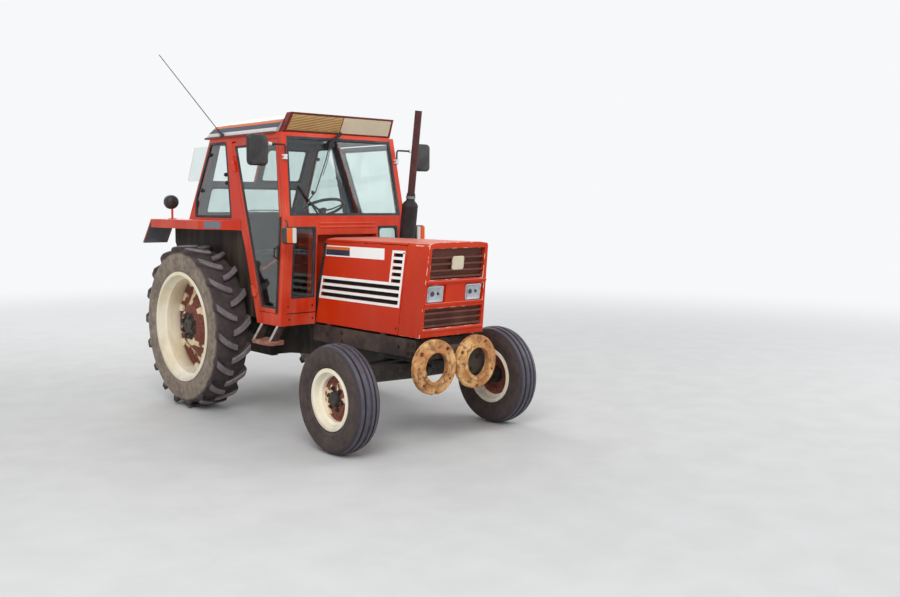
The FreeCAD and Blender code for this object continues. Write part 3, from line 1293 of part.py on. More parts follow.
def make_linkage():
    block_end = s.case_rear + 165
    block = box("lift_block", (-150, 150), (s.case_rear, block_end), (s.case_top - 100, s.shaft_z + 80))
    neck = box("lift_neck", (-120, 120), (s.case_rear, s.case_rear + 120), (s.pto_z - 60, s.case_top - 80))
    shaft_bore = bore("lift_bore", "X", (s.shaft_y, s.shaft_z), s.shaft_radius, -300, 300)
    ears = [box(f"top_ear_{word}", sorted((side * 24, side * 38), key=float), (block_end - 5, block_end + 62),
                (s.shaft_z - 34, s.shaft_z + 34)) for word, side in (("left", 1), ("right", -1))]
    top_y = s.case_rear + s.top_link_back
    pin = rod("top_pin", "X", (top_y, s.shaft_z), s.top_pin_radius, -48, 48, 16)
    housing = cut("lift_housing", fused("lift_solid", [block, neck, *ears, pin]), [shaft_bore])

    drop = math.radians(float(s.arm_drop))
    length = float(s.arm_length)
    wall = float(s.arm_wall)
    gap = float(s.clearance)
    x0 = float(s.arm_x)
    tip = Vector(0, length * math.cos(drop), -length * math.sin(drop))

    def bar(x, thick, end):
        """A flat lift arm between its splined boss and the eye at its tip."""
        first = solid_rod(Vector(x, 0, 0), Vector(x + thick, 0, 0), 52, 16)
        second = solid_rod(end + Vector(x, 0, 0), end + Vector(x + thick, 0, 0), 26, 12)
        across = end.cross(X).normalize()
        corners = [across * 40, end + across * 20, end - across * 20, across * -40]
        web = Part.Face(Part.makePolygon(corners + corners[:1])).extrude(Vector(thick, 0, 0))
        web.translate(Vector(x, 0, 0))
        return first.fuse([second, web])

    shaft = solid_rod(Vector(-x0 - wall, 0, 0), Vector(x0 + wall, 0, 0), float(s.shaft_radius), 16)
    arms = shaft.fuse([bar(x0, wall, tip), bar(-x0 - wall, wall, tip)])
    lift_arms = made("lift_arms", arms.removeSplitter(), 0, s.shaft_y, s.shaft_z)

    # each rod hangs from its arm's outer face and comes down beside the link's inner face
    reach = float(s.rod_reach)
    spread = (float(s.link_end_x) - float(s.link_pivot_x)) / (float(s.link_reach) - float(s.link_pivot_y))
    slant = math.atan(spread)
    normal = Vector(math.cos(slant), -math.sin(slant), 0)
    top = Vector(x0 + wall + gap, float(s.shaft_y) + tip.y, float(s.shaft_z) + tip.z)
    face = Vector(float(s.link_pivot_x) + spread * reach, float(s.link_pivot_y) + reach, float(s.link_z))
    low = face - normal * (float(s.link_wall) / 2 + float(s.rod_clearance) + 20)
    head = solid_rod(top, top + X * 26, 26, 12)
    eye = solid_rod(low, low + normal * 20, 24, 12)
    stem = solid_rod(top + Vector(13, 0, -8), low + normal * 10 + Vector(0, 0, 8), float(s.rod_radius), 10)
    hanger = made("lift_rod_left", stem.fuse([head, eye]).removeSplitter())
    rods = pair("lift_rods", hanger)

    half = float(s.link_wall) / 2
    pivot = Vector(float(s.link_pivot_x), 0, 0)
    end = Vector(float(s.link_end_x), float(s.link_reach) - float(s.link_pivot_y) - 40, 0)
    plan = [pivot + Vector(-half, -32, 0), pivot + Vector(half, -32, 0), end + Vector(half, -20, 0),
            end + Vector(-half, -20, 0)]
    blade = Part.Face(Part.makePolygon(plan + plan[:1])).extrude(Vector(0, 0, 60))
    blade.translate(Vector(0, 0, -30))
    ball = flat_ring([(-22, 0), (-22, 40), (22, 40), (22, 0)], 16)
    ball.translate(end)
    eye_bore = Part.makeCylinder(float(s.ball_bore), 100, end + Vector(-50, 0, 0), X)
    pin_radius = (float(s.link_pin_radius) + gap) / math.cos(math.pi / 16)
    pin_bore = solid_rod(Vector(pivot.x - 50, 0, 0), Vector(pivot.x + 50, 0, 0), pin_radius, 16)
    link = blade.fuse(ball).cut([eye_bore, pin_bore]).removeSplitter()
    links = pair("lower_links", made("lower_link_left", link, 0, s.link_pivot_y, s.link_z))

    bar_z = s.drawbar_z
    swing = box("drawbar_blade", (-32, 32), (-60, 760), (bar_z, bar_z + 28))
    hanger_box = box("drawbar_hanger", (-60, 60), (180, 240), (bar_z + 28, s.case_bottom))
    foot = box("drawbar_foot", (-60, 60), (-60, 0), (bar_z + 28, s.case_bottom))
    pin_hole = rod("drawbar_hole", "Z", (0, 715), 14, bar_z - 20, bar_z + 60, 0)
    drawbar = cut("drawbar", fused("drawbar_solid", [swing, hanger_box, foot]), [pin_hole])

    pto = rod("pto_shaft", "Y", (0, s.pto_z), 17.5, s.case_rear + 120, s.case_rear + 215, 0)

    top_end = Vector(0, -float(s.top_link_lean), float(s.top_link_length))
    tube = solid_rod(Vector(0, 0, 0), top_end, float(s.top_link_radius))
    eyes = [solid_rod(middle - X * 22, middle + X * 22, 28, 16) for middle in (Vector(0, 0, 0), top_end)]
    low_bore = solid_rod(X * -40, X * 40, (float(s.top_pin_radius) + gap) / math.cos(math.pi / 16), 16)
    high_bore = Part.makeCylinder(13, 80, top_end + Vector(-40, 0, 0), X)
    upper = tube.fuse(eyes).cut([low_bore, high_bore]).removeSplitter()
    top_link = made("top_link", upper, 0, top_y, s.shaft_z)
    return [housing, lift_arms, rods, links, drawbar, pto, top_link]


def finish(nodes):
    doc.recompute()
    for item in doc.Objects:
        if "Invalid" in item.State or "Error" in item.State:
            raise RuntimeError(f"{item.Name} failed: {item.State}")
    for node in nodes:
        node.Label = node.Name
        shape = node.Shape
        if shape.isNull() or not shape.isValid() or shape.Volume <= 0:
            raise RuntimeError(f"{node.Name} has no valid shape")
        shape.exportStep(f"parts/{node.Name}.step")


cab_sides, quarter_glass = make_cab_sides()
finish([
    *make_wheels(), *make_driveline(), *make_front_axle(), *make_weights(), *make_bonnet(), *make_exhaust(),
    *cab_sides, *make_cab_walls(quarter_glass), *make_roof_and_floor(), *make_fenders(), *make_controls(),
    *make_fittings(), *make_linkage(),
])
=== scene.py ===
import math

import bmesh
import bpy
from mathutils import Matrix, Vector


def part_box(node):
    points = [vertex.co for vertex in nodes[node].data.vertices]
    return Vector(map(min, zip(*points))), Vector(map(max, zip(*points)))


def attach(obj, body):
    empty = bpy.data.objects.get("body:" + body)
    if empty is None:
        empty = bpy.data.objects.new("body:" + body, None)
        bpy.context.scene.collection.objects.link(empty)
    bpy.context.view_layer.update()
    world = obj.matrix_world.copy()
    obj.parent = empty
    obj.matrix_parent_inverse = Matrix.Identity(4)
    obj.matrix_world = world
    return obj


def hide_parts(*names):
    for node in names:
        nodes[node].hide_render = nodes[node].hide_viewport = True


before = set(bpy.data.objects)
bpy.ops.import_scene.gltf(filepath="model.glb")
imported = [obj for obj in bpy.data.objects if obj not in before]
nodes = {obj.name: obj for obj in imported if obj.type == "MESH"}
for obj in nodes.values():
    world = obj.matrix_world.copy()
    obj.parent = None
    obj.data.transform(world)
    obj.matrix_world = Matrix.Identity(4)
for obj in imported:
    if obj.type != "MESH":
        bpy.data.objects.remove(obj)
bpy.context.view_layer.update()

scene = bpy.context.scene
scene.view_settings.view_transform = "Standard"
for name in ("Cube", "Light", "Camera"):
    leftover = bpy.data.objects.get(name)
    if leftover:
        bpy.data.objects.remove(leftover)

# The tractor faces -Y, the driver's left is +X, and the floor is at 0.
rear_axle = Vector((0.7645, 0.8, 0.711))
front_axle = Vector((0.7925, -1.4, 0.397))
sides = (("left", 1), ("right", -1))


# Node trees, for materials and for shapes that repeat

def feed(tree, socket, value):
    if isinstance(value, bpy.types.NodeSocket):
        tree.links.new(value, socket)
    else:
        socket.default_value = value


def add_node(tree, kind, settings=None, **inputs):
    """A node with its settings and inputs; i0, i1 and so on are inputs by their number."""
    node = tree.nodes.new(kind)
    for key, value in (settings or {}).items():
        setattr(node, key, value)
    for name, value in inputs.items():
        feed(tree, node.inputs[int(name[1:]) if name[1:].isdigit() else name.replace("_", " ")], value)
    return node


def calculate(tree, operation, *values):
    node = add_node(tree, "ShaderNodeMath", {"operation": operation})
    for socket, value in zip(node.inputs, values):
        feed(tree, socket, value)
    return node.outputs[0]


def tone(red, green, blue):
    """A colour written as it looks on screen, 0 to 255, as linear light."""
    def linear(value):
        value = value / 255
        return value / 12.92 if value <= 0.04045 else ((value + 0.055) / 1.055) ** 2.4
    return linear(red), linear(green), linear(blue), 1.0


def dimmed(colour, share):
    return tuple(value * share for value in colour)


class Finish:
    """A surface: a principled shader with helpers for the patterns over the object's own coordinates."""

    def __init__(self, name, roughness=0.5, metallic=0.0, **sockets):
        self.material = bpy.data.materials.new(name)
        self.material.use_nodes = True
        self.tree = self.material.node_tree
        self.shader = self.tree.nodes["Principled BSDF"]
        for socket, value in {"Roughness": roughness, "Metallic": metallic, **sockets}.items():
            self.shader.inputs[socket.replace("_", " ")].default_value = value
        self.place = self.add("ShaderNodeTexCoord").outputs["Object"]
        self.axes = self.add("ShaderNodeSeparateXYZ", Vector=self.place).outputs

    def add(self, kind, settings=None, **inputs):
        return add_node(self.tree, kind, settings, **inputs)

    def math(self, operation, first, second=0.0, third=0.0):
        return calculate(self.tree, operation, first, second, third)

    def times(self, first, second):
        return self.math("MULTIPLY", first, second)

    def noise(self, scale, detail=3.0, roughness=0.55, stretch=(1, 1, 1), offset=(0, 0, 0)):
        place = self.add("ShaderNodeMapping", Vector=self.place, Scale=stretch, Location=offset).outputs["Vector"]
        return self.add("ShaderNodeTexNoise", Vector=place, Scale=scale, Detail=detail,
                        Roughness=roughness).outputs["Fac"]

    def ramp(self, value, low, high):
        """0 below low, 1 above high, smooth between them."""
        return self.add("ShaderNodeMapRange", {"interpolation_type": "SMOOTHSTEP"}, Value=value, From_Min=low,
                        From_Max=high).outputs["Result"]

    def patches(self, low, high, *noise, **more):
        return self.ramp(self.noise(*noise, **more), low, high)

    def mix(self, share, first, second):
        first, second = (tone(*c) if isinstance(c, tuple) and len(c) == 3 else c for c in (first, second))
        return self.add("ShaderNodeMix", {"data_type": "RGBA"}, i0=share, i6=first, i7=second).outputs[2]

    def colour(self, value):
        feed(self.tree, self.shader.inputs["Base Color"], value)

    def rough(self, value, low, high):
        node = self.add("ShaderNodeMapRange", Value=value, To_Min=low, To_Max=high)
        feed(self.tree, self.shader.inputs["Roughness"], node.outputs["Result"])

    def bump(self, height, strength=0.3, distance=0.002):
        node = self.add("ShaderNodeBump", Height=height, Strength=strength, Distance=distance)
        feed(self.tree, self.shader.inputs["Normal"], node.outputs["Normal"])


# Finishes

def worn_paint(name, base, faded, chipped, dust=(150, 125, 100), grime=0.35, wear=0.5, roughness=(0.32, 0.55),
               sky_sheen=None, shine=0.28):
    """Old enamel: faded patches, dust that gathers low down, a painted sky highlight on faces that look up, flecks,
    chips along worn edges.
    """
    f = Finish(name, Coat_Weight=0.05, Coat_Roughness=0.3, Specular_IOR_Level=shine)
    broad = f.noise(2.3, 4.0)
    colour = f.mix(f.ramp(broad, 0.38, 0.68), base, faded)
    low = f.math("SUBTRACT", 1.0, f.ramp(f.axes["Z"], 0.72, 1.25))
    streaks = f.patches(0.42, 0.75, 9.0, 4.0, 0.6, (1.0, 1.0, 0.14))
    dirt = f.times(streaks, f.math("MULTIPLY_ADD", low, 0.55, 0.25))
    colour = f.mix(f.times(dirt, grime), colour, dust)
    colour = f.mix(f.times(f.patches(0.70, 0.78, 70.0, 2.0), 0.2), colour, dust)
    # painted highlight: faces that look up are lightened towards the pale tone, standing in for the sky's reflection
    if sky_sheen:
        normal = f.add("ShaderNodeNewGeometry").outputs["Normal"]
        up = f.ramp(f.add("ShaderNodeSeparateXYZ", Vector=normal).outputs["Z"], 0.7, 0.95)
        colour = f.mix(f.times(up, f.math("MULTIPLY_ADD", broad, 0.5, 0.35)), colour, sky_sheen)
    edge = f.add("ShaderNodeAttribute", {"attribute_name": "worn"}).outputs["Fac"]
    chips = f.patches(0.66 - 0.16 * wear, 0.70 - 0.14 * wear, 16.0, 5.0, 0.65)
    colour = f.mix(f.times(edge, chips), colour, chipped)
    f.colour(f.mix(f.times(f.patches(0.74, 0.75, 38.0, 6.0, 0.7), 0.8 * wear), colour, chipped))
    f.rough(broad, *roughness)
    f.bump(f.noise(140.0, 3.0), 0.06, 0.001)
    return f.material


def plain_metal(name, base, other, scale=14.0, roughness=(0.5, 0.8), metallic=0.3, pits=0.35, dust=None):
    """Cast or rolled metal with patches of another tone, pits and a little dust."""
    f = Finish(name, metallic=metallic)
    broad = f.noise(scale, 6.0, 0.68)
    colour = f.mix(f.ramp(broad, 0.4, 0.62), base, other)
    if dust:
        colour = f.mix(f.times(f.patches(0.45, 0.7, scale * 0.3, 5.0, 0.6), 0.6), colour, dust)
    f.colour(colour)
    f.rough(broad, *roughness)
    f.bump(f.noise(scale * 9, 3.0, 0.6), pits, 0.0015)
    return f.material


def moulded(name, base, roughness=0.5, dusty=0.25, dust=(120, 112, 104), lower=None):
    """Moulded plastic or rubber with a fine grain and some dust; a lining takes a darker tone below the windows,
    which is painted shade.
    """
    f = Finish(name, roughness)
    # painted shade: below the windows the lining takes the darker tone
    if lower:
        base = f.mix(f.ramp(f.axes["Z"], 1.60, 1.68), lower, base)
        dusty = 0.2
    f.colour(f.mix(f.times(f.patches(0.42, 0.75, 7.0, 5.0), dusty), base, dust))
    if not lower:
        f.rough(f.noise(20.0), roughness - 0.08, roughness + 0.12)
    f.bump(f.noise(180.0, 2.0), 0.15, 0.0008)
    return f.material


def clear(name, tint, roughness=0.02):
    f = Finish(name, roughness, IOR=1.45, Transmission_Weight=1.0)
    film = f.noise(5.0, 5.0, 0.6)
    f.colour(f.mix(f.ramp(film, 0.35, 0.8), tint, tuple(value - 8 for value in tint)))
    f.rough(f.ramp(film, 0.5, 0.8), roughness, roughness + 0.06)
    return f.material


def tyre_rubber(name, axle, worn_radius, wall_radius, wall, tread, top):
    """Tyre rubber: dusty walls, a dark tread floor that paints the shade between the lugs, and greyer faces where the
    tread touches the road.
    """
    f = Finish(name, 0.75)
    y = f.math("SUBTRACT", f.axes["Y"], axle.y)
    z = f.math("SUBTRACT", f.axes["Z"], axle.z)
    radius = f.math("SQRT", f.math("ADD", f.times(y, y), f.times(z, z)))
    spread = f.ramp(f.math("ADD", f.times(f.noise(9.0, 5.0, 0.6), 0.55), f.times(f.noise(24.0, 4.0, 0.6), 0.45)),
                    0.34, 0.66)
    touching = f.ramp(radius, worn_radius - 0.006, worn_radius)
    on_wall = f.math("SUBTRACT", 1.0, f.ramp(radius, wall_radius - 0.018, wall_radius + 0.010))
    # the tread floor and the lug sides take the dark tone: painted shade between the lugs, over the rubber's own
    # black
    dusty, dark, grey = (f.mix(spread, colour, dimmed(colour, share))
                         for colour, share in ((wall, 0.72), (tread, 1.5), (top, 0.78)))
    f.colour(f.mix(touching, f.mix(on_wall, dark, dusty), grey))
    f.rough(touching, 0.85, 0.48)
    f.bump(f.noise(120.0, 4.0), 0.25, 0.001)
    return f.material


def rusted(name, light, mid, dark, scale=9.0, pits=0.7, flakes=0.5):
    """Rust in three tones, with flaking patches."""
    f = Finish(name, metallic=0.1)
    broad = f.noise(scale, 6.0, 0.7)
    fine = f.noise(scale * 2.6, 6.0, 0.72, offset=(3, 1, 2))
    colour = f.mix(f.ramp(broad, 0.36, 0.56), light, mid)
    f.colour(f.mix(f.times(f.ramp(fine, flakes, flakes + 0.14), 0.85), colour, dark))
    f.rough(broad, 0.7, 0.95)
    f.bump(f.math("ADD", broad, fine), pits, 0.003)
    return f.material


def cloth(name, base, thread):
    """Woven seat cloth."""
    f = Finish(name, 0.9, Sheen_Weight=0.3, Sheen_Roughness=0.5)
    warp = f.math("SINE", f.times(f.axes["X"], 1900.0))
    weft = f.math("SINE", f.times(f.math("ADD", f.axes["Y"], f.axes["Z"]), 1900.0))
    weave = f.times(warp, weft)
    f.colour(f.mix(f.math("MULTIPLY_ADD", weave, 0.2, f.times(f.patches(0.35, 0.75, 11.0, 4.0), 0.7)), base, thread))
    f.bump(weave, 0.35, 0.0006)
    return f.material


def chipped_disc(name):
    """A wheel disc whose cream paint has gone in large patches down to brown primer and rust."""
    f = Finish(name, 0.6)
    broad = f.noise(6.0, 3.0, 0.5, offset=(0.4, 0.2, 0.7))
    fine = f.noise(60.0, 4.0, 0.6)
    brown = f.mix(f.ramp(fine, 0.4, 0.65), (132, 70, 54), (96, 48, 38))
    f.colour(f.mix(f.ramp(broad, 0.545, 0.565), brown, (238, 214, 176)))
    f.rough(broad, 0.85, 0.45)
    f.bump(f.math("ADD", f.times(f.ramp(broad, 0.54, 0.57), 0.7), f.times(fine, 0.3)), 0.4, 0.001)
    return f.material


def silvered(name, roughness, metallic, share, bright, dull):
    """Mirror glass or a lamp's bright bowl; share makes the pattern of its two tones."""
    f = Finish(name, roughness, metallic)
    f.colour(f.mix(share(f), bright, dull))
    return f.material


# the pale pink tones for the tops are a painted sky highlight on faces that look up
body_red = worn_paint("body_red", (204, 46, 4), (208, 60, 18), (226, 170, 150), grime=0.12, wear=0.35,
                      sky_sheen=(238, 160, 142), shine=0.2)
nose_red = worn_paint("nose_red", (196, 44, 4), (206, 62, 24), (244, 206, 190), grime=0.16, wear=0.9,
                      sky_sheen=(238, 160, 142), shine=0.2)
cab_red = worn_paint("cab_red", (204, 48, 16), (216, 78, 50), (226, 160, 140), dust=(176, 140, 118), grime=0.4,
                     wear=0.3, sky_sheen=(232, 140, 122), shine=0.25)
fender_inner = worn_paint("fender_inner", (196, 46, 16), (206, 70, 44), (216, 150, 130), (70, 62, 60), 0.3, 0.2)
# painted shade: a dark brown-grey in place of red paint, for the fender faces that stand in shade round the tyres
fender_shade = worn_paint("fender_painted_shade", (52, 44, 40), (66, 54, 48), (90, 80, 70), grime=0.8, wear=0.2,
                        roughness=(0.7, 0.9))
roof_paint = worn_paint("roof_white", (224, 222, 220), (212, 210, 206), (150, 140, 130), grime=0.3, wear=0.2)
stripe_orange = worn_paint("stripe_orange", (226, 108, 36), (214, 112, 52), (200, 160, 130), grime=0.2, wear=0.2)
stripe_navy = worn_paint("stripe_navy", (38, 42, 66), (52, 56, 78), (120, 120, 130), grime=0.25, wear=0.2)
trim_cream = worn_paint("trim_cream", (255, 252, 248), (246, 240, 232), (210, 140, 110), grime=0.12, wear=0.3)
gutter_red = worn_paint("gutter_dark_red", (112, 30, 24), (126, 42, 34), (150, 90, 80), grime=0.3)
visor_frame = worn_paint("visor_frame_brown", (104, 34, 28), (120, 46, 38), (150, 90, 80), grime=0.3)
visor_tan = worn_paint("visor_vent_tan", (184, 150, 100), (168, 132, 84), (120, 90, 60), grime=0.4)
sign_cream = worn_paint("visor_sign_cream", (218, 208, 182), (206, 194, 166), (150, 130, 100), grime=0.25)
rim_cream = worn_paint("rim_cream", (252, 246, 226), (240, 228, 198), (150, 90, 70), (176, 152, 122), 0.35, 0.25)
disc_paint = chipped_disc("disc_chipped")
grille_brown = worn_paint("grille_brown", (104, 58, 46), (88, 48, 40), (150, 104, 88), grime=0.3, wear=0.3,
                          roughness=(0.55, 0.75))
bay_dark = plain_metal("bay_dark", (22, 20, 20), (34, 30, 28), roughness=(0.8, 0.95))
cast_dark = plain_metal("cast_iron_oily", (40, 37, 36), (58, 52, 48), dust=(96, 84, 72))
rail_dark = plain_metal("rail_worn_dark", (52, 42, 40), (70, 56, 52), dust=(112, 88, 76))
dark_steel = plain_metal("steel_worn", (84, 80, 78), (60, 54, 50), metallic=0.8, roughness=(0.35, 0.6))
bright_steel = plain_metal("steel_bright", (150, 148, 146), (116, 112, 108), metallic=0.9, roughness=(0.2, 0.4))
bolt_steel = plain_metal("bolt_steel", (78, 66, 60), (58, 48, 44), metallic=0.6, roughness=(0.45, 0.7))
strap_steel = plain_metal("strap_steel", (196, 186, 178), (158, 146, 138), metallic=0.2, roughness=(0.4, 0.6))
muffler_black = plain_metal("muffler_black", (30, 27, 28), (46, 38, 38), metallic=0.2, roughness=(0.55, 0.8))
ring_rust = rusted("weight_ring_rust", (228, 184, 124), (190, 132, 80), (112, 72, 50), scale=8.0, flakes=0.49)
step_rust = rusted("step_rust", (188, 142, 122), (160, 104, 84), (96, 58, 48), scale=22.0)
pipe_rust = rusted("exhaust_pipe_rust", (92, 46, 44), (78, 40, 40), (64, 34, 34), scale=12.0, pits=0.3)
grille_dark = moulded("grille_shadow", (26, 20, 18), 0.8)
black_plastic = moulded("black_plastic", (28, 28, 30))
dash_plastic = moulded("dash_plastic", (44, 44, 48), 0.6)
seal_rubber = moulded("seal_rubber", (34, 35, 40), 0.6, dust=(110, 112, 118))
flap_rubber = moulded("flap_rubber", (92, 94, 98), 0.75, 0.5, (150, 146, 140))
# inside the cab the darker lining tones are painted shade: below the windows, and on the inner faces of the front and
# rear walls
trim_grey = moulded("cab_lining", (98, 100, 114), 0.75, lower=(48, 48, 54))
lining_painted_shade = moulded("cab_lining_painted_shade", (50, 50, 56), 0.8)
boot_rubber = moulded("boot_rubber", (34, 33, 34), 0.8)
reflector_grey = moulded("reflector_grey", (112, 116, 126), 0.35, 0.3)
seat_cloth = cloth("seat_cloth", (38, 38, 44), (70, 70, 80))
# the dark tread tones paint the shade between the lugs
rear_rubber = tyre_rubber("rear_tyre_rubber", rear_axle, 0.700, 0.645, (158, 142, 126), (50, 43, 42),
                          (132, 122, 126))
front_rubber = tyre_rubber("front_tyre_rubber", front_axle, 0.386, 0.372, (82, 68, 64), (44, 40, 44), (86, 80, 92))
window_glass = clear("window_glass", (226, 238, 236))
lens_clear = clear("lens_clear", (240, 242, 244), 0.05)
lens_orange = worn_paint("lens_orange", (236, 92, 24), (226, 104, 40), (230, 140, 90), grime=0.15,
                         roughness=(0.15, 0.3))
lens_white = worn_paint("lens_white", (226, 222, 218), (214, 208, 204), (200, 190, 180), grime=0.2,
                        roughness=(0.15, 0.3))
lamp_red = worn_paint("lamp_red", (196, 22, 14), (180, 30, 20), (220, 120, 110), grime=0.2, roughness=(0.15, 0.3))
mirror_silver = silvered("mirror_silver", 0.04, 1.0, lambda f: f.patches(0.3, 0.7, 6.0), (208, 212, 216),
                         (192, 198, 204))
reflector_silver = silvered("reflector_silver", 0.3, 0.6, lambda f: f.noise(30.0), (244, 246, 250), (200, 204, 212))


# Building meshes

def cleaned(mesh, angle=None):
    """Doubles merged, faces outwards, and edges above the angle sharp."""
    shaped = bmesh.new()
    shaped.from_mesh(mesh)
    bmesh.ops.remove_doubles(shaped, verts=shaped.verts, dist=0.00001)
    bmesh.ops.recalc_face_normals(shaped, faces=shaped.faces)
    if angle:
        for edge in shaped.edges:
            edge.smooth = not (len(edge.link_faces) == 2 and edge.calc_face_angle(0.0) > math.radians(angle))
        for face in shaped.faces:
            face.smooth = True
    shaped.to_mesh(mesh)
    shaped.free()
    return mesh


def merged(node):
    """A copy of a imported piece's mesh with its triangles joined to whole faces."""
    shaped = bmesh.new()
    shaped.from_mesh(nodes[node].data)
    bmesh.ops.remove_doubles(shaped, verts=shaped.verts, dist=0.00002)
    bmesh.ops.dissolve_limit(shaped, angle_limit=math.radians(1.0), verts=shaped.verts, edges=shaped.edges)
    return shaped


def placed(name, mesh):
    item = bpy.data.objects.new(name, mesh)
    scene.collection.objects.link(item)
    return item


def evaluated(item):
    """The mesh that an object's modifiers make."""
    bpy.context.view_layer.update()
    return bpy.data.meshes.new_from_object(item.evaluated_get(bpy.context.evaluated_depsgraph_get()))


def finished(name, mesh, body="chassis", replaces=(), angle=35.0):
    item = placed(name, cleaned(mesh, angle) if angle else mesh)
    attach(item, body)
    if replaces:
        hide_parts(*replaces)
    return item


def paint(mesh, materials):
    for material in materials if isinstance(materials, (list, tuple)) else [materials]:
        mesh.materials.append(material)


def upright(x, z, y):
    return Vector((x, y, z))


def level(x, y, z):
    return Vector((x, y, z))


def circle(count, start=0.0):
    """Even angles round a circle."""
    return [2 * math.pi * (k + start) / count for k in range(count)]


def rounded_rectangle(x0, x1, z0, z1, radius, steps=5):
    points = []
    for cx, cz, start in ((x1 - radius, z0 + radius, -90), (x1 - radius, z1 - radius, 0),
                          (x0 + radius, z1 - radius, 90), (x0 + radius, z0 + radius, 180)):
        for k in range(steps + 1):
            a = math.radians(start + 90 * k / steps)
            points.append((cx + radius * math.cos(a), cz + radius * math.sin(a)))
    return points


class Shape:
    """Vertices and faces that grow piece by piece before they become one mesh."""

    def __init__(self):
        self.vertices, self.faces, self.marks = [], [], []

    def add(self, vertices, faces, mark=0):
        start = len(self.vertices)
        self.vertices += [Vector(v) for v in vertices]
        self.faces += [tuple(start + i for i in face) for face in faces]
        self.marks += [mark] * len(faces)
        return self

    def loops(self, rings, caps=True, mark=0):
        """Skins a row of rings that have the same number of points."""
        n = len(rings[0])
        faces = [(row + i, row + (i + 1) % n, row + n + (i + 1) % n, row + n + i)
                 for row in range(0, n * (len(rings) - 1), n) for i in range(n)]
        if caps:
            faces += [tuple(reversed(range(n))), tuple(range((len(rings) - 1) * n, len(rings) * n))]
        return self.add([point for ring in rings for point in ring], faces, mark)

    def pressed(self, bounds, rows, put=upright, steps=5, **more):
        """A rounded rectangle through rows of (depth, inset, corner radius); put gives a point's place."""
        x0, x1, z0, z1 = bounds
        return self.loops([[put(a, b, depth) for a, b in
                            rounded_rectangle(x0 + i, x1 - i, z0 + i, z1 - i, radius, steps)]
                           for depth, i, radius in rows], **more)

    def box(self, low, high):
        corners = ((low[1], low[2]), (high[1], low[2]), (high[1], high[2]), (low[1], high[2]))
        return self.loops([[(x, y, z) for y, z in corners] for x in (low[0], high[0])])

    def tube(self, points, radius, sides=10):
        """A round bar along a path; radius is one number or one for each point."""
        points = [Vector(p) for p in points]
        radii = radius if isinstance(radius, list) else [radius] * len(points)
        rings = []
        across = None
        for i, point in enumerate(points):
            ahead = (points[min(i + 1, len(points) - 1)] - points[max(i - 1, 0)]).normalized()
            if across is None:
                across = ahead.orthogonal().normalized()
            across = (across - ahead * across.dot(ahead)).normalized()
            other = ahead.cross(across)
            rings.append([point + (across * math.cos(a) + other * math.sin(a)) * radii[i] for a in circle(sides)])
        return self.loops(rings)

    def turned(self, profile, centre, axis="X", segments=64):
        """A closed profile of (along the axis, radius) turned about an axis through centre."""
        centre = Vector(centre)
        unit = [Vector(v) for v in ((1, 0, 0), (0, 1, 0), (0, 0, 1))]
        if isinstance(axis, str):
            number = "XYZ".index(axis)
            axis = [unit[(number + k) % 3] for k in range(3)]
        along, first, second = axis
        places = []
        for x, radius in profile:
            start = len(self.vertices)
            if radius <= 1e-6:
                places.append([start] * segments)
                self.vertices.append(centre + along * x)
                continue
            places.append([start + k for k in range(segments)])
            self.vertices += [centre + along * x + (first * math.cos(a) + second * math.sin(a)) * radius
                              for a in circle(segments)]
        for i, near in enumerate(places):
            far = places[(i + 1) % len(places)]
            for k in range(segments):
                m = (k + 1) % segments
                corners = tuple(dict.fromkeys((near[k], near[m], far[m], far[k])))
                if len(corners) > 2:
                    self.faces.append(corners)
                    self.marks.append(0)
        return self

    def both_faces(self, profile, centre, axis="X", segments=64):
        """A turned profile, and its mirror image on the other face."""
        for face in (1, -1):
            self.turned([(face * x, radius) for x, radius in profile], centre, axis, segments)
        return self

    def mirrored(self):
        """The same on the other side of the tractor's middle."""
        marks = list(self.marks)
        self.add([(-v.x, v.y, v.z) for v in self.vertices], [tuple(reversed(face)) for face in self.faces])
        self.marks = marks + marks
        return self

    def mesh(self, name, materials=()):
        mesh = bpy.data.meshes.new(name)
        mesh.from_pydata([tuple(v) for v in self.vertices], [], self.faces)
        for polygon, mark in zip(mesh.polygons, self.marks):
            polygon.material_index = mark
        paint(mesh, materials)
        return mesh

    def pattern(self, name):
        """The shape as an object kept out of sight, to repeat or to cut with."""
        return placed(name, cleaned(self.mesh(name)))

    def make(self, name, materials, slot=None, body="chassis", replaces=(), angle=35.0):
        return finished(name, self.mesh(name, materials), body, replaces, angle)


# Geometry nodes: trees that repeat a shape

def new_tree(name, inputs):
    tree = bpy.data.node_groups.new(name, "GeometryNodeTree")
    for label, kind, way in [("Geometry", "Geometry", "INPUT"), ("Geometry", "Geometry", "OUTPUT")] + [
            (label, kind, "INPUT") for label, kind in inputs]:
        tree.interface.new_socket(label, in_out=way, socket_type="NodeSocket" + kind)
    return tree, tree.nodes.new("NodeGroupInput").outputs, tree.nodes.new("NodeGroupOutput").inputs["Geometry"]


def close_tree(tree, points, shape, turn, material, target):
    """Puts the shape on the points, turned, as real and painted meshes."""
    copies = add_node(tree, "GeometryNodeInstanceOnPoints", Points=points, Instance=shape, Rotation=turn)
    real = add_node(tree, "GeometryNodeRealizeInstances", Geometry=copies.outputs["Instances"])
    painted = add_node(tree, "GeometryNodeSetMaterial", Geometry=real.outputs["Geometry"], Material=material)
    tree.links.new(painted.outputs["Geometry"], target)
    return tree


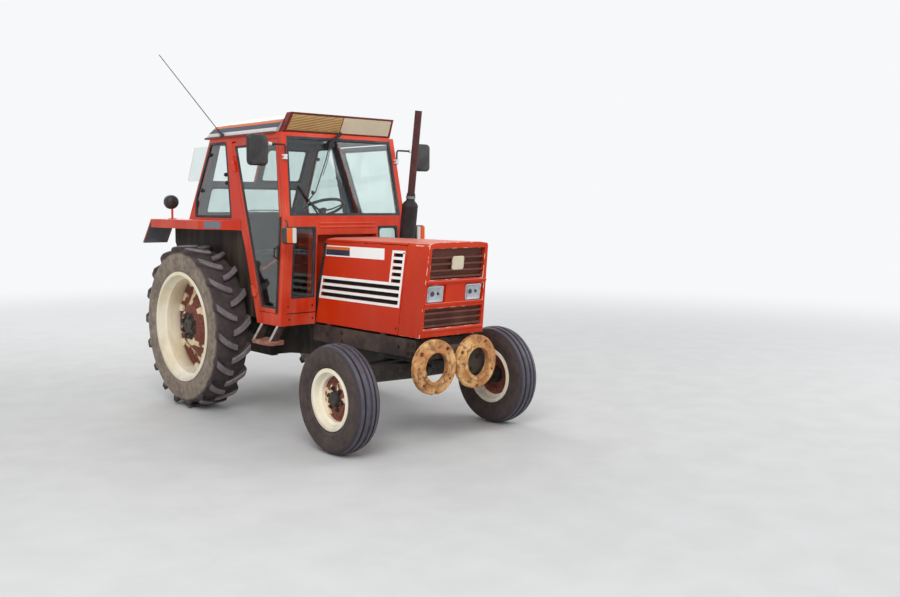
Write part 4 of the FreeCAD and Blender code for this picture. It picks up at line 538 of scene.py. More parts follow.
def wheel_tree():
    """Repeats a shape round an axle: the shape stands above the axle and is turned about X."""
    tree, given, target = new_tree("repeat_round_axle", [
        ("Shape", "Object"), ("Count", "Int"), ("Start Angle", "Float"), ("Axle", "Vector"), ("Finish", "Material")])
    row = add_node(tree, "GeometryNodeMeshLine", Count=given["Count"])
    points = add_node(tree, "GeometryNodeSetPosition", Geometry=row.outputs["Mesh"], Position=given["Axle"])
    share = calculate(tree, "DIVIDE", add_node(tree, "GeometryNodeInputIndex").outputs[0], given["Count"])
    angle = calculate(tree, "MULTIPLY_ADD", share, 2 * math.pi, given["Start Angle"])
    turn = add_node(tree, "ShaderNodeCombineXYZ", X=angle)
    shape = add_node(tree, "GeometryNodeObjectInfo", Object=given["Shape"])
    return close_tree(tree, points.outputs["Geometry"], shape.outputs["Geometry"], turn.outputs[0],
                      given["Finish"], target)


def bolt_tree():
    """A hexagon head with a washer on each point, facing the way that the point's arrow says."""
    tree, given, target = new_tree("bolts_on_points", [
        ("Head Radius", "Float"), ("Head Height", "Float"), ("Finish", "Material")])
    radius, height = given["Head Radius"], given["Head Height"]
    head = add_node(tree, "GeometryNodeMeshCylinder", Vertices=6, Radius=radius, Depth=height)
    lift = add_node(tree, "ShaderNodeCombineXYZ", Z=calculate(tree, "MULTIPLY", height, 0.5))
    raised = add_node(tree, "GeometryNodeTransform", Geometry=head.outputs["Mesh"], Translation=lift.outputs[0])
    washer = add_node(tree, "GeometryNodeMeshCylinder", Vertices=14, Radius=calculate(tree, "MULTIPLY", radius, 1.45),
                      Depth=calculate(tree, "MULTIPLY", height, 0.4))
    both = add_node(tree, "GeometryNodeJoinGeometry")
    tree.links.new(raised.outputs["Geometry"], both.inputs[0])
    tree.links.new(washer.outputs["Mesh"], both.inputs[0])
    facing = add_node(tree, "GeometryNodeInputNamedAttribute", {"data_type": "FLOAT_VECTOR"}, Name="facing")
    turn = add_node(tree, "FunctionNodeAlignRotationToVector", {"axis": "Z"}, Vector=facing.outputs["Attribute"])
    return close_tree(tree, given["Geometry"], both.outputs[0], turn.outputs["Rotation"], given["Finish"], target)


round_axle, bolts_on_points = wheel_tree(), bolt_tree()


def grown(name, base, tree, values, body, angle=35.0):
    """Runs a tree on a base mesh and keeps the result as a plain mesh."""
    holder = placed(name + "_base", base)
    modifier = holder.modifiers.new("growth", "NODES")
    modifier.node_group = tree
    keys = {item.name: item.identifier for item in tree.interface.items_tree if item.in_out == "INPUT"}
    for label, value in values.items():
        modifier[keys[label]] = value
    mesh = evaluated(holder)
    bpy.data.objects.remove(holder)
    mesh.name = name
    return finished(name, mesh, body, (), angle)


def bolts(name, spots, radius, height, material=bolt_steel, body="chassis"):
    """Bolt heads at (place, direction) pairs."""
    mesh = bpy.data.meshes.new(name + "_spots")
    mesh.from_pydata([tuple(place) for place, facing in spots], [], [])
    arrows = mesh.attributes.new("facing", "FLOAT_VECTOR", "POINT")
    for entry, (place, facing) in zip(arrows.data, spots):
        entry.vector = tuple(facing)
    grown(name, mesh, bolts_on_points, {"Head Radius": radius, "Head Height": height, "Finish": material}, body,
          angle=30.0)


def repeated(name, shape, count, start, axle, material, body, angle=35.0):
    """Copies of a shape round an axle."""
    point = bpy.data.meshes.new("point")
    point.from_pydata([(0, 0, 0)], [], [])
    original = shape.pattern(name + "_one")
    grown(name, point, round_axle, {"Shape": original, "Count": count, "Start Angle": start, "Axle": tuple(axle),
                                    "Finish": material}, body, angle)
    bpy.data.objects.remove(original)


def softened(node, materials, width=0.004, choose=None, body="chassis"):
    """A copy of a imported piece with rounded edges, which carry the wear mark. It stands for the piece."""
    shaped = merged(node)
    sharp = [edge for edge in shaped.edges
             if len(edge.link_faces) == 2 and edge.calc_face_angle(0.0) > math.radians(28)]
    worn = shaped.faces.layers.float.new("worn")
    made = bmesh.ops.bevel(shaped, geom=sharp, offset=width, offset_type="OFFSET", segments=2, profile=0.5,
                           affect="EDGES", clamp_overlap=True)
    rounded = set(made["faces"])
    for face in shaped.faces:
        face[worn] = 1.0 if face in rounded else 0.0
        face.smooth = face in rounded
        if choose:
            face.material_index = choose(face.calc_center_median(), face.normal)
    mesh = bpy.data.meshes.new(node + "_soft")
    shaped.to_mesh(mesh)
    shaped.free()
    paint(mesh, materials)
    finished(node + "_soft", mesh, body, [node], angle=None)


def dress(material, *names):
    """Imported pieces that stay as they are, in a better finish."""
    for name in names:
        nodes[name].data.materials.clear()
        nodes[name].data.materials.append(material)


# Camera, light and floor

def make_camera():
    yaw, pitch, roll = math.radians(41.96), math.radians(-5.55), math.radians(0.31)
    ahead = Vector((math.sin(yaw) * math.cos(pitch), math.cos(yaw) * math.cos(pitch), math.sin(pitch)))
    right = ahead.cross(Vector((0, 0, 1))).normalized()
    up = right.cross(ahead)
    right, up = right * math.cos(roll) + up * math.sin(roll), up * math.cos(roll) - right * math.sin(roll)
    data = bpy.data.cameras.new("camera")
    data.lens = 38.11
    data.sensor_width = 36.0
    data.sensor_fit = "HORIZONTAL"
    camera = placed("camera", data)
    turn = Matrix((right, up, -ahead)).transposed().to_4x4()
    camera.matrix_world = Matrix.Translation((-4.6949, -6.9327, 1.7757)) @ turn
    scene.camera = camera


def area_light(name, place, target, power):
    data = bpy.data.lights.new(name, "AREA")
    data.shape = "DISK"
    data.size = 6.0
    data.energy = power
    lamp = placed(name, data)
    lamp.location = place
    lamp.rotation_euler = (Vector(target) - Vector(place)).to_track_quat("-Z", "Y").to_euler()


def make_studio():
    backdrop = (0.93, 0.94, 0.95, 1)
    world = bpy.data.worlds.new("studio")
    scene.world = world
    world.use_nodes = True
    tree = world.node_tree
    back = tree.nodes["Background"]
    back.inputs["Color"].default_value = (0.86, 0.88, 0.92, 1)
    back.inputs["Strength"].default_value = 0.62
    white = add_node(tree, "ShaderNodeBackground", Color=backdrop, Strength=1.0)
    rays = add_node(tree, "ShaderNodeLightPath").outputs
    seen = calculate(tree, "MAXIMUM", rays["Is Camera Ray"], rays["Is Glossy Ray"])
    seen = calculate(tree, "MAXIMUM", seen, rays["Is Transmission Ray"])
    mix = add_node(tree, "ShaderNodeMixShader", i0=seen, i1=back.outputs[0], i2=white.outputs[0])
    tree.links.new(mix.outputs[0], tree.nodes["World Output"].inputs["Surface"])

    floor = Finish("pale_floor", 0.85)
    floor.colour(floor.mix(floor.patches(0.3, 0.7, 3.0, 5.0), (0.60, 0.60, 0.59, 1), (0.64, 0.64, 0.63, 1)))
    # far away the floor turns into the white background
    x, y = floor.axes["X"], floor.axes["Y"]
    distance = floor.math("SQRT", floor.math("ADD", floor.times(x, x), floor.times(y, y)))
    glow = floor.add("ShaderNodeEmission", Color=backdrop, Strength=1.0)
    blend = floor.add("ShaderNodeMixShader", i0=floor.ramp(distance, 2.5, 14.0), i1=floor.shader.outputs[0],
                      i2=glow.outputs[0])
    floor.tree.links.new(blend.outputs[0], floor.tree.nodes["Material Output"].inputs["Surface"])
    reach, height = 60.0, -0.0006
    sheet = Shape().add([(x, y, height) for x, y in ((-reach, -reach), (reach, -reach), (reach, reach),
                                                     (-reach, reach))], [(0, 1, 2, 3)])
    placed("floor", sheet.mesh("floor", floor.material))
    area_light("key_light", (-5.5, -6.5, 7.5), (0, -0.3, 0.9), 520)
    area_light("fill_light", (6.5, -4.5, 5.0), (0, 0, 1.0), 190)
    area_light("rear_light", (1.5, 7.0, 6.0), (0, 0.5, 1.0), 260)


make_camera()
make_studio()


# Wheels

def smooth_profile(points, steps=4):
    """A rounder profile through the same points."""
    result = []
    count = len(points)
    for i in range(count - 1):
        p0, p1 = points[max(i - 1, 0)], points[i]
        p2, p3 = points[i + 1], points[min(i + 2, count - 1)]
        for k in range(steps):
            t = k / steps
            result.append(tuple(0.5 * ((2 * b) + (c - a) * t + (2 * a - 5 * b + 4 * c - d) * t * t
                                       + (3 * b - a - 3 * c + d) * t * t * t)
                                for a, b, c, d in zip(p0, p1, p2, p3)))
    return result + [points[-1]]


def hub_place(axle, side):
    """A wheel's centre, and the axis that points outwards from it."""
    outward = (Vector((side, 0, 0)), Vector((0, 1, 0)), Vector((0, 0, 1)))
    return Vector((side * axle.x, axle.y, axle.z)), outward


def tyre_profile(half, bead):
    return half + [(-x, r) for x, r in reversed(half[:-1])] + [(0.0, bead)]


def tyre_rings(tyre, centre, rows):
    """Moulded rings on both sidewalls: half width, radius, half thickness, how proud."""
    for x, radius, thick, proud in rows:
        tyre.both_faces([(x, radius - thick), (x + proud, radius), (x, radius + thick), (x - 0.006, radius)],
                        centre, "X", 96)


def make_rear_tyres():
    """A smooth carcass and curved lugs."""
    half = smooth_profile([
        (0.1385, 0.4600), (0.1385, 0.4815), (0.1480, 0.5000), (0.1560, 0.5400), (0.1572, 0.5750), (0.1540, 0.6150),
        (0.1480, 0.6420), (0.1300, 0.6600), (0.0900, 0.6700), (0.0450, 0.6740), (0.0, 0.6755)], 3)
    lug_stations = [
        # across, radius of the top, way in (across, radial), depth, angle offset share, width
        (-0.018, 0.7106, (0, -1), 0.036, 0.00, 0.044),
        (0.010, 0.7108, (0, -1), 0.037, 0.07, 0.050),
        (0.045, 0.7106, (0, -1), 0.037, 0.22, 0.054),
        (0.085, 0.7095, (0, -1), 0.040, 0.45, 0.058),
        (0.120, 0.7070, (-0.15, -1), 0.044, 0.70, 0.062),
        (0.146, 0.7020, (-0.5, -1), 0.046, 0.90, 0.066),
        (0.1550, 0.6840, (-1, -0.7), 0.034, 0.98, 0.066),
        (0.1572, 0.6560, (-1, -0.2), 0.020, 1.00, 0.062),
        (0.1572, 0.6250, (-1, 0), 0.012, 1.00, 0.054),
        (0.1560, 0.6020, (-1, 0), 0.004, 1.00, 0.040),
    ]
    section = ((-0.64, 1.0), (-0.52, 0.18), (-0.40, 0.0), (0.40, 0.0), (0.52, 0.18), (0.64, 1.0))
    skew, count = 0.118 / 0.711, 18
    for word, side in sides:
        centre, outward = hub_place(rear_axle, side)
        carcass = Shape().turned(tyre_profile(half, 0.4600), centre, "X", 120)
        tyre_rings(carcass, centre, ((0.1568, 0.556, 0.003, 0.0001), (0.1572, 0.592, 0.003, 0.0001)))
        carcass.make(f"rear_tyre_{word}_carcass", rear_rubber, "tyre_rubber", f"wheel_rear_{word}",
                     [f"rear_tyre_{word}"], 50.0)
        for row, way, start in (("outer", side, 0.0), ("inner", -side, math.pi / count)):
            rings = []
            for across, top, inward, depth, share, width in lug_stations:
                into = Vector((inward[0] * way, inward[1])).normalized()
                ring = []
                for lateral, down in section:
                    radius = top + into.y * depth * down
                    turn = (share - 0.5) * skew + lateral * width / 0.70
                    ring.append((across * way + into.x * depth * down, radius * math.sin(turn),
                                 radius * math.cos(turn)))
                rings.append(ring)
            repeated(f"rear_tyre_{word}_lugs_{row}", Shape().loops(rings), count, start + math.pi - skew / 2, centre,
                     rear_rubber, f"wheel_rear_{word}", 40.0)


def make_front_tyres():
    """Broad ribs with grooves between them."""
    half = smooth_profile([(0.0695, 0.2060), (0.0695, 0.2275), (0.0830, 0.2450), (0.0985, 0.2850), (0.1022, 0.3150),
                           (0.0985, 0.3520), (0.0900, 0.3720), (0.0800, 0.3815)], 3)
    half += [(0.0640, 0.3870), (0.0550, 0.3900), (0.0525, 0.3890), (0.0500, 0.3760), (0.0390, 0.3760),
             (0.0365, 0.3925), (0.0330, 0.3950), (0.0140, 0.3966), (0.0115, 0.3955), (0.0100, 0.3860),
             (0.0, 0.3860)]
    for word, side in sides:
        centre, outward = hub_place(front_axle, side)
        tyre = Shape().turned(tyre_profile(half, 0.2060), centre, "X", 112)
        tyre_rings(tyre, centre, ((0.0918, 0.262, 0.004, 0.0018), (0.1005, 0.336, 0.004, 0.0018)))
        tyre.make(f"front_tyre_{word}_ribbed", front_rubber, "tyre_rubber", f"wheel_front_{word}",
                  [f"front_tyre_{word}"], 32.0)


# Each wheel: flange from its edge to the bead seat, well, inner wall, dished disc and hub, as (outwards, radius);
# segments of barrel, disc and hub; count, turn, place, circle and size of the nuts
wheels = {
    "rear": (rear_axle,
             [(0.1505, 0.4500), (0.1508, 0.4760), (0.1480, 0.4812), (0.1425, 0.4812), (0.1395, 0.4770),
              (0.1390, 0.4565)],
             [(0.098, 0.4545), (0.080, 0.4305), (-0.030, 0.4285), (-0.050, 0.4545)],
             [(-0.125, 0.4380), (-0.060, 0.4340), (-0.036, 0.4170), (0.076, 0.4170), (0.096, 0.4360),
              (0.120, 0.4420)],
             [(-0.056, 0.4175), (-0.062, 0.4175), (-0.072, 0.3950), (-0.070, 0.3600), (-0.046, 0.3000),
              (0.000, 0.2300), (0.038, 0.1900), (0.056, 0.1720), (0.062, 0.1500), (0.062, 0.0700), (0.050, 0.0700),
              (0.050, 0.1480), (0.042, 0.1700), (-0.014, 0.2300), (-0.060, 0.3000), (-0.082, 0.3600),
              (-0.082, 0.4000), (-0.072, 0.4175)],
             [(-0.028, 0.0), (-0.028, 0.118), (0.060, 0.118), (0.067, 0.112), (0.068, 0.070), (0.084, 0.064),
              (0.090, 0.054), (0.090, 0.030), (0.084, 0.026), (0.084, 0.0)],
             (120, 96, 48), (8, 0.5, 0.067, 0.098, 0.0185, 0.030, cast_dark)),
    "front": (front_axle,
              [(0.0810, 0.1980), (0.0813, 0.2225), (0.0785, 0.2268), (0.0725, 0.2268), (0.0700, 0.2235),
               (0.0695, 0.2025)],
              [(0.044, 0.2005), (0.030, 0.1785), (-0.012, 0.1765), (-0.030, 0.2005)],
              [(-0.064, 0.1900), (-0.036, 0.1880), (-0.018, 0.1660), (0.026, 0.1660), (0.038, 0.1860),
               (0.062, 0.1900)],
              [(0.008, 0.1670), (-0.002, 0.1670), (-0.008, 0.1500), (0.008, 0.1180), (0.020, 0.1060),
               (0.022, 0.0400), (0.012, 0.0400), (0.012, 0.1040), (-0.002, 0.1160), (-0.020, 0.1500),
               (-0.016, 0.1670)],
              [(-0.0465, 0.0), (-0.0465, 0.070), (0.006, 0.070), (0.010, 0.066), (0.030, 0.057), (0.044, 0.055),
               (0.054, 0.046), (0.056, 0.0)],
              (96, 80, 40), (6, 0.2 * 6 / (2 * math.pi), 0.022, 0.079, 0.0125, 0.020, bolt_steel)),
}


def make_rims():
    """A cream barrel round a chipped, dished disc, with its hub and nuts."""
    for kind, (axle, flange, well, inner, disc, hub, segments, nuts) in wheels.items():
        barrel = flange + well + [(-x, r) for x, r in reversed(flange)] + inner
        count, turn, nut_x, nut_circle, nut_radius, nut_height, nut_metal = nuts
        for word, side in sides:
            centre, outward = hub_place(axle, side)
            body = f"wheel_{kind}_{word}"
            Shape().turned(barrel, centre, outward, segments[0]).make(
                f"{kind}_rim_{word}_barrel", rim_cream, "wheel_cream", body, [f"{kind}_rim_{word}"], 40.0)
            Shape().turned(smooth_profile(disc + disc[:1], 2)[:-1], centre, outward, segments[1]).make(
                f"{kind}_disc_{word}", disc_paint, "wheel_cream", body, angle=40.0)
            Shape().turned(hub, centre, outward, segments[2]).make(f"{kind}_hub_{word}", cast_dark, "cast_dark", body)
            spots = [(centre + Vector((side * nut_x, nut_circle * math.cos(a), nut_circle * math.sin(a))),
                      (side, 0, 0)) for a in circle(count, turn)]
            bolts(f"{kind}_wheel_nuts_{word}", spots, nut_radius, nut_height, nut_metal, body)
            if kind == "rear":
                # clamps that hold the disc to the barrel
                clamp = Shape().loops([[(side * x, y, z) for x, y in
                                        ((-0.052, -w), (-0.052, w), (-0.074, w), (-0.074, -w))]
                                       for z, w in ((0.380, 0.020), (0.400, 0.030), (0.4330, 0.034))])
                repeated(f"rear_rim_clamps_{word}", clamp, 8, 0.3, centre, rim_cream, body)


# Ring weights in front

def drilled(item, cutters):
    """Cuts other shapes out of a piece, and removes them."""
    for cutter in cutters:
        modifier = item.modifiers.new("hole", "BOOLEAN")
        modifier.operation = "DIFFERENCE"
        modifier.solver = "EXACT"
        modifier.object = cutter
    mesh = evaluated(item)
    item.modifiers.clear()
    item.data = mesh
    for cutter in cutters:
        bpy.data.objects.remove(cutter)


def make_ring_weights():
    back, face, hub_face = -1.750, -1.794, -1.8118
    disc_radius, hub_radius, hole_radius = 0.2025, 0.1370, 0.1080
    profile = [
        (back, hole_radius + 0.012), (back, disc_radius - 0.008), (back - 0.004, disc_radius),
        (face + 0.008, disc_radius), (face, disc_radius - 0.008), (face, hub_radius + 0.010),
        (face - 0.004, hub_radius + 0.002), (hub_face + 0.004, hub_radius), (hub_face, hub_radius - 0.005),
        (hub_face, hole_radius + 0.004), (hub_face + 0.004, hole_radius), (face + 0.012, hole_radius),
        (face + 0.016, hole_radius + 0.012),
    ]
    notch_outline = ((-0.024, -0.230), (0.022, -0.230), (0.018, -0.182), (0.010, -0.172), (-0.004, -0.170),
                     (-0.016, -0.180))
    for word, side, turned_by in (("left", 1, 0.30), ("right", -1, 0.12)):
        centre = Vector((side * 0.2057, 0.0, 0.610))
        item = Shape().turned(profile, centre, "Y", 96).make(f"front_weight_{word}", ring_rust, "rusty_iron",
                                                             replaces=["front_weights"], angle=30.0)
        cutters = []
        for angle, radius in ((0.72, 0.0165), (2.35, 0.018), (3.85, 0.010), (5.55, 0.011)):
            a = angle + turned_by
            spot = centre + Vector((0.169 * math.cos(a), 0, 0.169 * math.sin(a)))
            hole = Shape().turned([(-1.84, 0.0), (-1.84, radius), (-1.70, radius), (-1.70, 0.0)], spot, "Y", 20)
            cutters.append(hole.pattern("weight_hole"))
        notch = Shape().loops([[centre + Vector((x, y, z)) for x, z in notch_outline] for y in (-1.84, -1.70)])
        drilled(item, cutters + [notch.pattern("weight_notch")])
    # a plate behind the left ring's hole
    centre = Vector((0.2057, 0.0, 0.610))
    Shape().turned([(back + 0.022, 0.0), (back + 0.022, 0.100), (back + 0.016, 0.104), (back + 0.016, 0.0)],
                   centre, "Y", 40).make("front_weight_back_plate", cast_dark, "cast_dark")
    bolts("front_weight_plate_bolts", [(centre + Vector((0.06 * math.cos(a), back + 0.016, 0.06 * math.sin(a))),
                                        (0, -1, 0)) for a in (0.4, 2.5, 4.6)], 0.011, 0.009)


# Front axle, frame, driveline and rear linkage

def make_driveline():
    for node, material, width in [
            ("weight_carrier", rail_dark, 0.004), ("front_frame", rail_dark, 0.004),
            ("axle_support", cast_dark, 0.006), ("front_axle_beam", cast_dark, 0.005),
            ("gearbox_case", cast_dark, 0.010), ("engine_block", cast_dark, 0.012), ("drawbar", dark_steel, 0.004),
            ("lift_housing", cast_dark, 0.006), ("bonnet_bulkhead", bay_dark, 0.003)]:
        softened(node, material, width)
    for node, body, width in [("knuckle_left", "knuckle_left_body", 0.005),
                              ("knuckle_right", "knuckle_right_body", 0.005),
                              ("lower_links", "lower_links_body", 0.004), ("lift_arms", "lift_arms_body", 0.004)]:
        softened(node, cast_dark, width, body=body)
    dress(cast_dark, "rear_axle_housings", "top_link")
    dress(dark_steel, "tie_rod", "lift_rods")
    spots = []
    for word, side in sides:
        for y, z in ((-1.640, 0.700), (-1.640, 0.765), (-1.590, 0.700), (-1.590, 0.765), (-1.480, 0.735),
                     (-0.760, 0.700), (-0.760, 0.765), (-0.560, 0.735)):
            spots.append(((side * 0.305, y, z), (side, 0, 0)))
        for x in (0.21, 0.27):
            spots += [((side * x, -1.400 + 0.050 * way, 0.545), (0, way, 0)) for way in (-1, 1)]
    bolts("frame_bolts", spots, 0.0115, 0.009)
    # caps on the beam's centre pin and on the kingpins
    caps = Shape()
    for y, way in ((-1.481, -1), (-1.319, 1)):
        caps.turned([(way * x, r) for x, r in ((-0.004, 0.0), (-0.004, 0.052), (0.004, 0.050), (0.006, 0.030),
                                               (0.014, 0.028), (0.018, 0.022), (0.018, 0.0))],
                    (0.0, y, 0.540), "Y", 32)
    caps.make("axle_pin_caps", dark_steel, "dark_steel")
    for word, side in sides:
        cap = Shape().turned([(-0.004, 0.0), (-0.004, 0.030), (0.006, 0.029), (0.011, 0.022), (0.012, 0.0)],
                             (side * 0.600, -1.400, 0.6253), "Z", 24)
        cap.make(f"kingpin_cap_{word}", dark_steel, "dark_steel", f"knuckle_{word}_body")


def threaded(start, pitch, count, crest, root, end):
    """A profile with ridges, like a screw thread."""
    profile = [(start, 0.0)]
    for k in range(count):
        profile += [(start + pitch * k, crest), (start + pitch * (k + 0.5), root)]
    return profile + [(end, 0.0)]


def make_housing_details():
    """Cover plates, bolts and couplings on the lift housing, and the guarded power take-off shaft."""
    plates, caps = Shape(), Shape()
    rear = 1.365
    plates.pressed((-0.112, 0.112, 0.716, 0.846), ((rear - 0.001, 0, 0.02), (rear + 0.007, 0, 0.02),
                                                   (rear + 0.009, 0.003, 0.02)))
    plates.pressed((-0.12, 0.12, 1.222, 1.345), ((0.979, 0, 0.02), (0.987, 0, 0.02), (0.989, 0.003, 0.02)), level)
    spots = [((x, rear + 0.008, z), (0, 1, 0)) for x in (-0.098, 0.0, 0.098) for z in (0.730, 0.832)]
    spots += [((x, y, 0.988), (0, 0, 1)) for x in (-0.105, 0.105) for y in (1.236, 1.331)]
    spots += [((x, 1.2005, z), (0, 1, 0)) for x in (-0.180, 0.180) for z in (0.53, 0.60, 0.67, 0.74)]
    bolts("lift_housing_bolts", spots, 0.0085, 0.008)
    for x in (-0.122, -0.075, 0.075, 0.122):
        spot = (x, rear, 0.930)
        plates.turned([(-0.002, 0.0), (-0.002, 0.020), (0.008, 0.020), (0.008, 0.015), (0.026, 0.015), (0.026, 0.0)],
                      spot, "Y", 20)
        caps.turned([(0.026, 0.0), (0.026, 0.017), (0.040, 0.017), (0.044, 0.013), (0.044, 0.0)], spot, "Y", 20)
    plates.make("lift_housing_covers", cast_dark, "cast_dark")
    caps.make("coupling_caps", lamp_red, "black_plastic")

    outer = [(-0.085, 0.565), (-0.085, 0.650), (-0.072, 0.664), (0.072, 0.664), (0.085, 0.650), (0.085, 0.565)]
    inner = [(0.081, 0.565), (0.081, 0.648), (0.070, 0.660), (-0.070, 0.660), (-0.081, 0.648), (-0.081, 0.565)]
    guard = Shape().loops([[upright(x, z, y) for x, z in outer + inner] for y in (1.318, 1.432)])
    guard.make("shaft_guard", rail_dark, "cast_dark")
    rings = []
    for y, high, low in ((1.320, 0.0170, 0.0170), (1.345, 0.0170, 0.0170), (1.346, 0.0175, 0.0148),
                         (1.385, 0.0175, 0.0148), (1.387, 0.0150, 0.0148), (1.395, 0.0150, 0.0148),
                         (1.397, 0.0175, 0.0148), (1.411, 0.0170, 0.0145), (1.415, 0.0145, 0.0130)):
        radii = (high, high, low, low) * 6
        rings.append([(r * math.cos(a), y, 0.600 + r * math.sin(a)) for r, a in zip(radii, circle(24, 0.5))])
    Shape().loops(rings).make("pto_splined_shaft", bright_steel, "dark_steel", replaces=["pto_shaft"], angle=20.0)


def make_linkage_details():
    """Pins, threads, sleeves and balls of the drawbar, lift rods, lower links and top link."""
    pin = Shape().turned([(0.362, 0.0), (0.362, 0.0125), (0.404, 0.0125), (0.404, 0.024), (0.414, 0.024),
                          (0.418, 0.018), (0.418, 0.0)], (0.0, 1.515, 0.0), "Z", 24)
    pin.tube([(0.0, 1.515 + 0.026 * math.cos(a), 0.430 + 0.026 * math.sin(a))
              for a in [math.radians(-70 + 320 * k / 14) for k in range(15)]], 0.004, 8)
    pin.make("drawbar_pin", bright_steel, "dark_steel")

    top, low = Vector((0.2395, 1.5634, 0.8296)), Vector((0.3312, 1.4847, 0.4680))
    way, length = (low - top).normalized(), (low - top).length
    first = way.orthogonal().normalized()
    axis = (way, first, way.cross(first))
    sleeve = [(0.30, 0.0), (0.30, 0.0215), (0.33, 0.0215), (0.34, 0.0185), (0.66, 0.0185), (0.67, 0.0215),
              (0.70, 0.0215), (0.70, 0.0)]
    sleeves = Shape().turned([(length * x, r) for x, r in sleeve], top, axis, 6)
    sleeves.turned(threaded(length * 0.16, length * 0.011, 12, 0.0135, 0.0122, length * 0.295), top, axis, 20)
    sleeves.mirrored().make("lift_rod_sleeves", dark_steel, "dark_steel", "lift_rods_body")
    Shape().turned([(0.2520, 0.0), (0.2520, 0.017), (0.2590, 0.017), (0.2615, 0.013), (0.2615, 0.0)],
                   (0.0, 1.5634, 0.8376), "X", 20).mirrored().make("lift_rod_pins", bright_steel, "dark_steel",
                                                                   "lift_rods_body")
    balls = Shape().both_faces([(0.020, 0.0145), (0.020, 0.031), (0.0225, 0.031), (0.027, 0.025), (0.029, 0.0145)],
                               (0.420, 1.780, 0.460), "X", 28)
    balls.mirrored().make("lower_link_balls", bright_steel, "dark_steel", "lower_links_body")
    collars = Shape().both_faces([(0.0125, 0.0), (0.0125, 0.024), (0.018, 0.024), (0.021, 0.020), (0.021, 0.0)],
                                 (0.250, 0.920, 0.460), "X", 24)
    collars.mirrored().make("lower_link_collars", dark_steel, "dark_steel")

    base, tip = Vector((0.0, 1.397, 0.900)), Vector((0.0, 1.302, 1.670))
    way, right = (tip - base).normalized(), Vector((1, 0, 0))
    axis = (way, right, way.cross(right))
    link = Shape().turned([(0.205, 0.0), (0.205, 0.0225), (0.215, 0.0245), (0.235, 0.0245), (0.245, 0.0215),
                           (0.545, 0.0215), (0.555, 0.0245), (0.575, 0.0245), (0.585, 0.0225), (0.585, 0.0)],
                          base, axis, 28)
    for start in (0.085, 0.595):
        link.turned(threaded(start, 0.008, 13, 0.0192, 0.0172, start + 0.108), base, axis, 24)
    middle = base + way * 0.40
    for ends in ((-0.085, -0.022), (0.022, 0.085)):
        link.tube([middle + Vector((x, 0.004, 0)) for x in ends], 0.007, 10)
    link.make("top_link_turnbuckle", rail_dark, "cast_dark", "top_link_body")
    Shape().both_faces([(0.020, 0.0135), (0.020, 0.023), (0.0225, 0.023), (0.027, 0.018), (0.027, 0.0135)],
                       tip, "X", 24).make("top_link_ball", bright_steel, "dark_steel", "top_link_body")
    Shape().both_faces([(0.0375, 0.0), (0.0375, 0.020), (0.0440, 0.020), (0.0480, 0.014), (0.0480, 0.0)],
                       base, "X", 24).make("top_link_pin", bright_steel, "dark_steel")


make_rear_tyres()
make_front_tyres()
make_rims()
make_ring_weights()
make_driveline()
make_housing_details()
make_linkage_details()


# Bonnet

bonnet_top_z, side_top, bonnet_low = 1.514, 1.484, 0.822
nose_slope = 0.084 / (side_top - bonnet_low)  # the nose leans forward towards its top
nose_low = 2.620 - nose_slope * (bonnet_top_z - bonnet_low)


def lean_y(low_y, z):
    """The y of a line that leans with the bonnet's front, from its reach ahead of the rear axle at the bottom."""
    return rear_axle.y - (low_y + nose_slope * (z - bonnet_low))


def bonnet_half(z):
    return 0.317 - (0.317 - 0.288) / (side_top - bonnet_low) * (z - bonnet_low)


def rear_edge_y(z):
    return rear_axle.y - (1.172 + (1.306 - 1.172) / (side_top - bonnet_low) * (z - bonnet_low))


def nose_y(z, behind=0.0):
    """The y of the nose's front face at a height, or of a plane behind it."""
    return lean_y(nose_low, z) + behind


def on_nose(x, z, behind):
    return Vector((x, nose_y(z, behind), z))


def side_plate(outline, inner, outer):
    """A thin plate on the bonnet's left side: outline gives (y, z) corners."""
    return [[Vector((bonnet_half(z) + out, y, z)) for y, z in outline] for out in (inner, outer)]


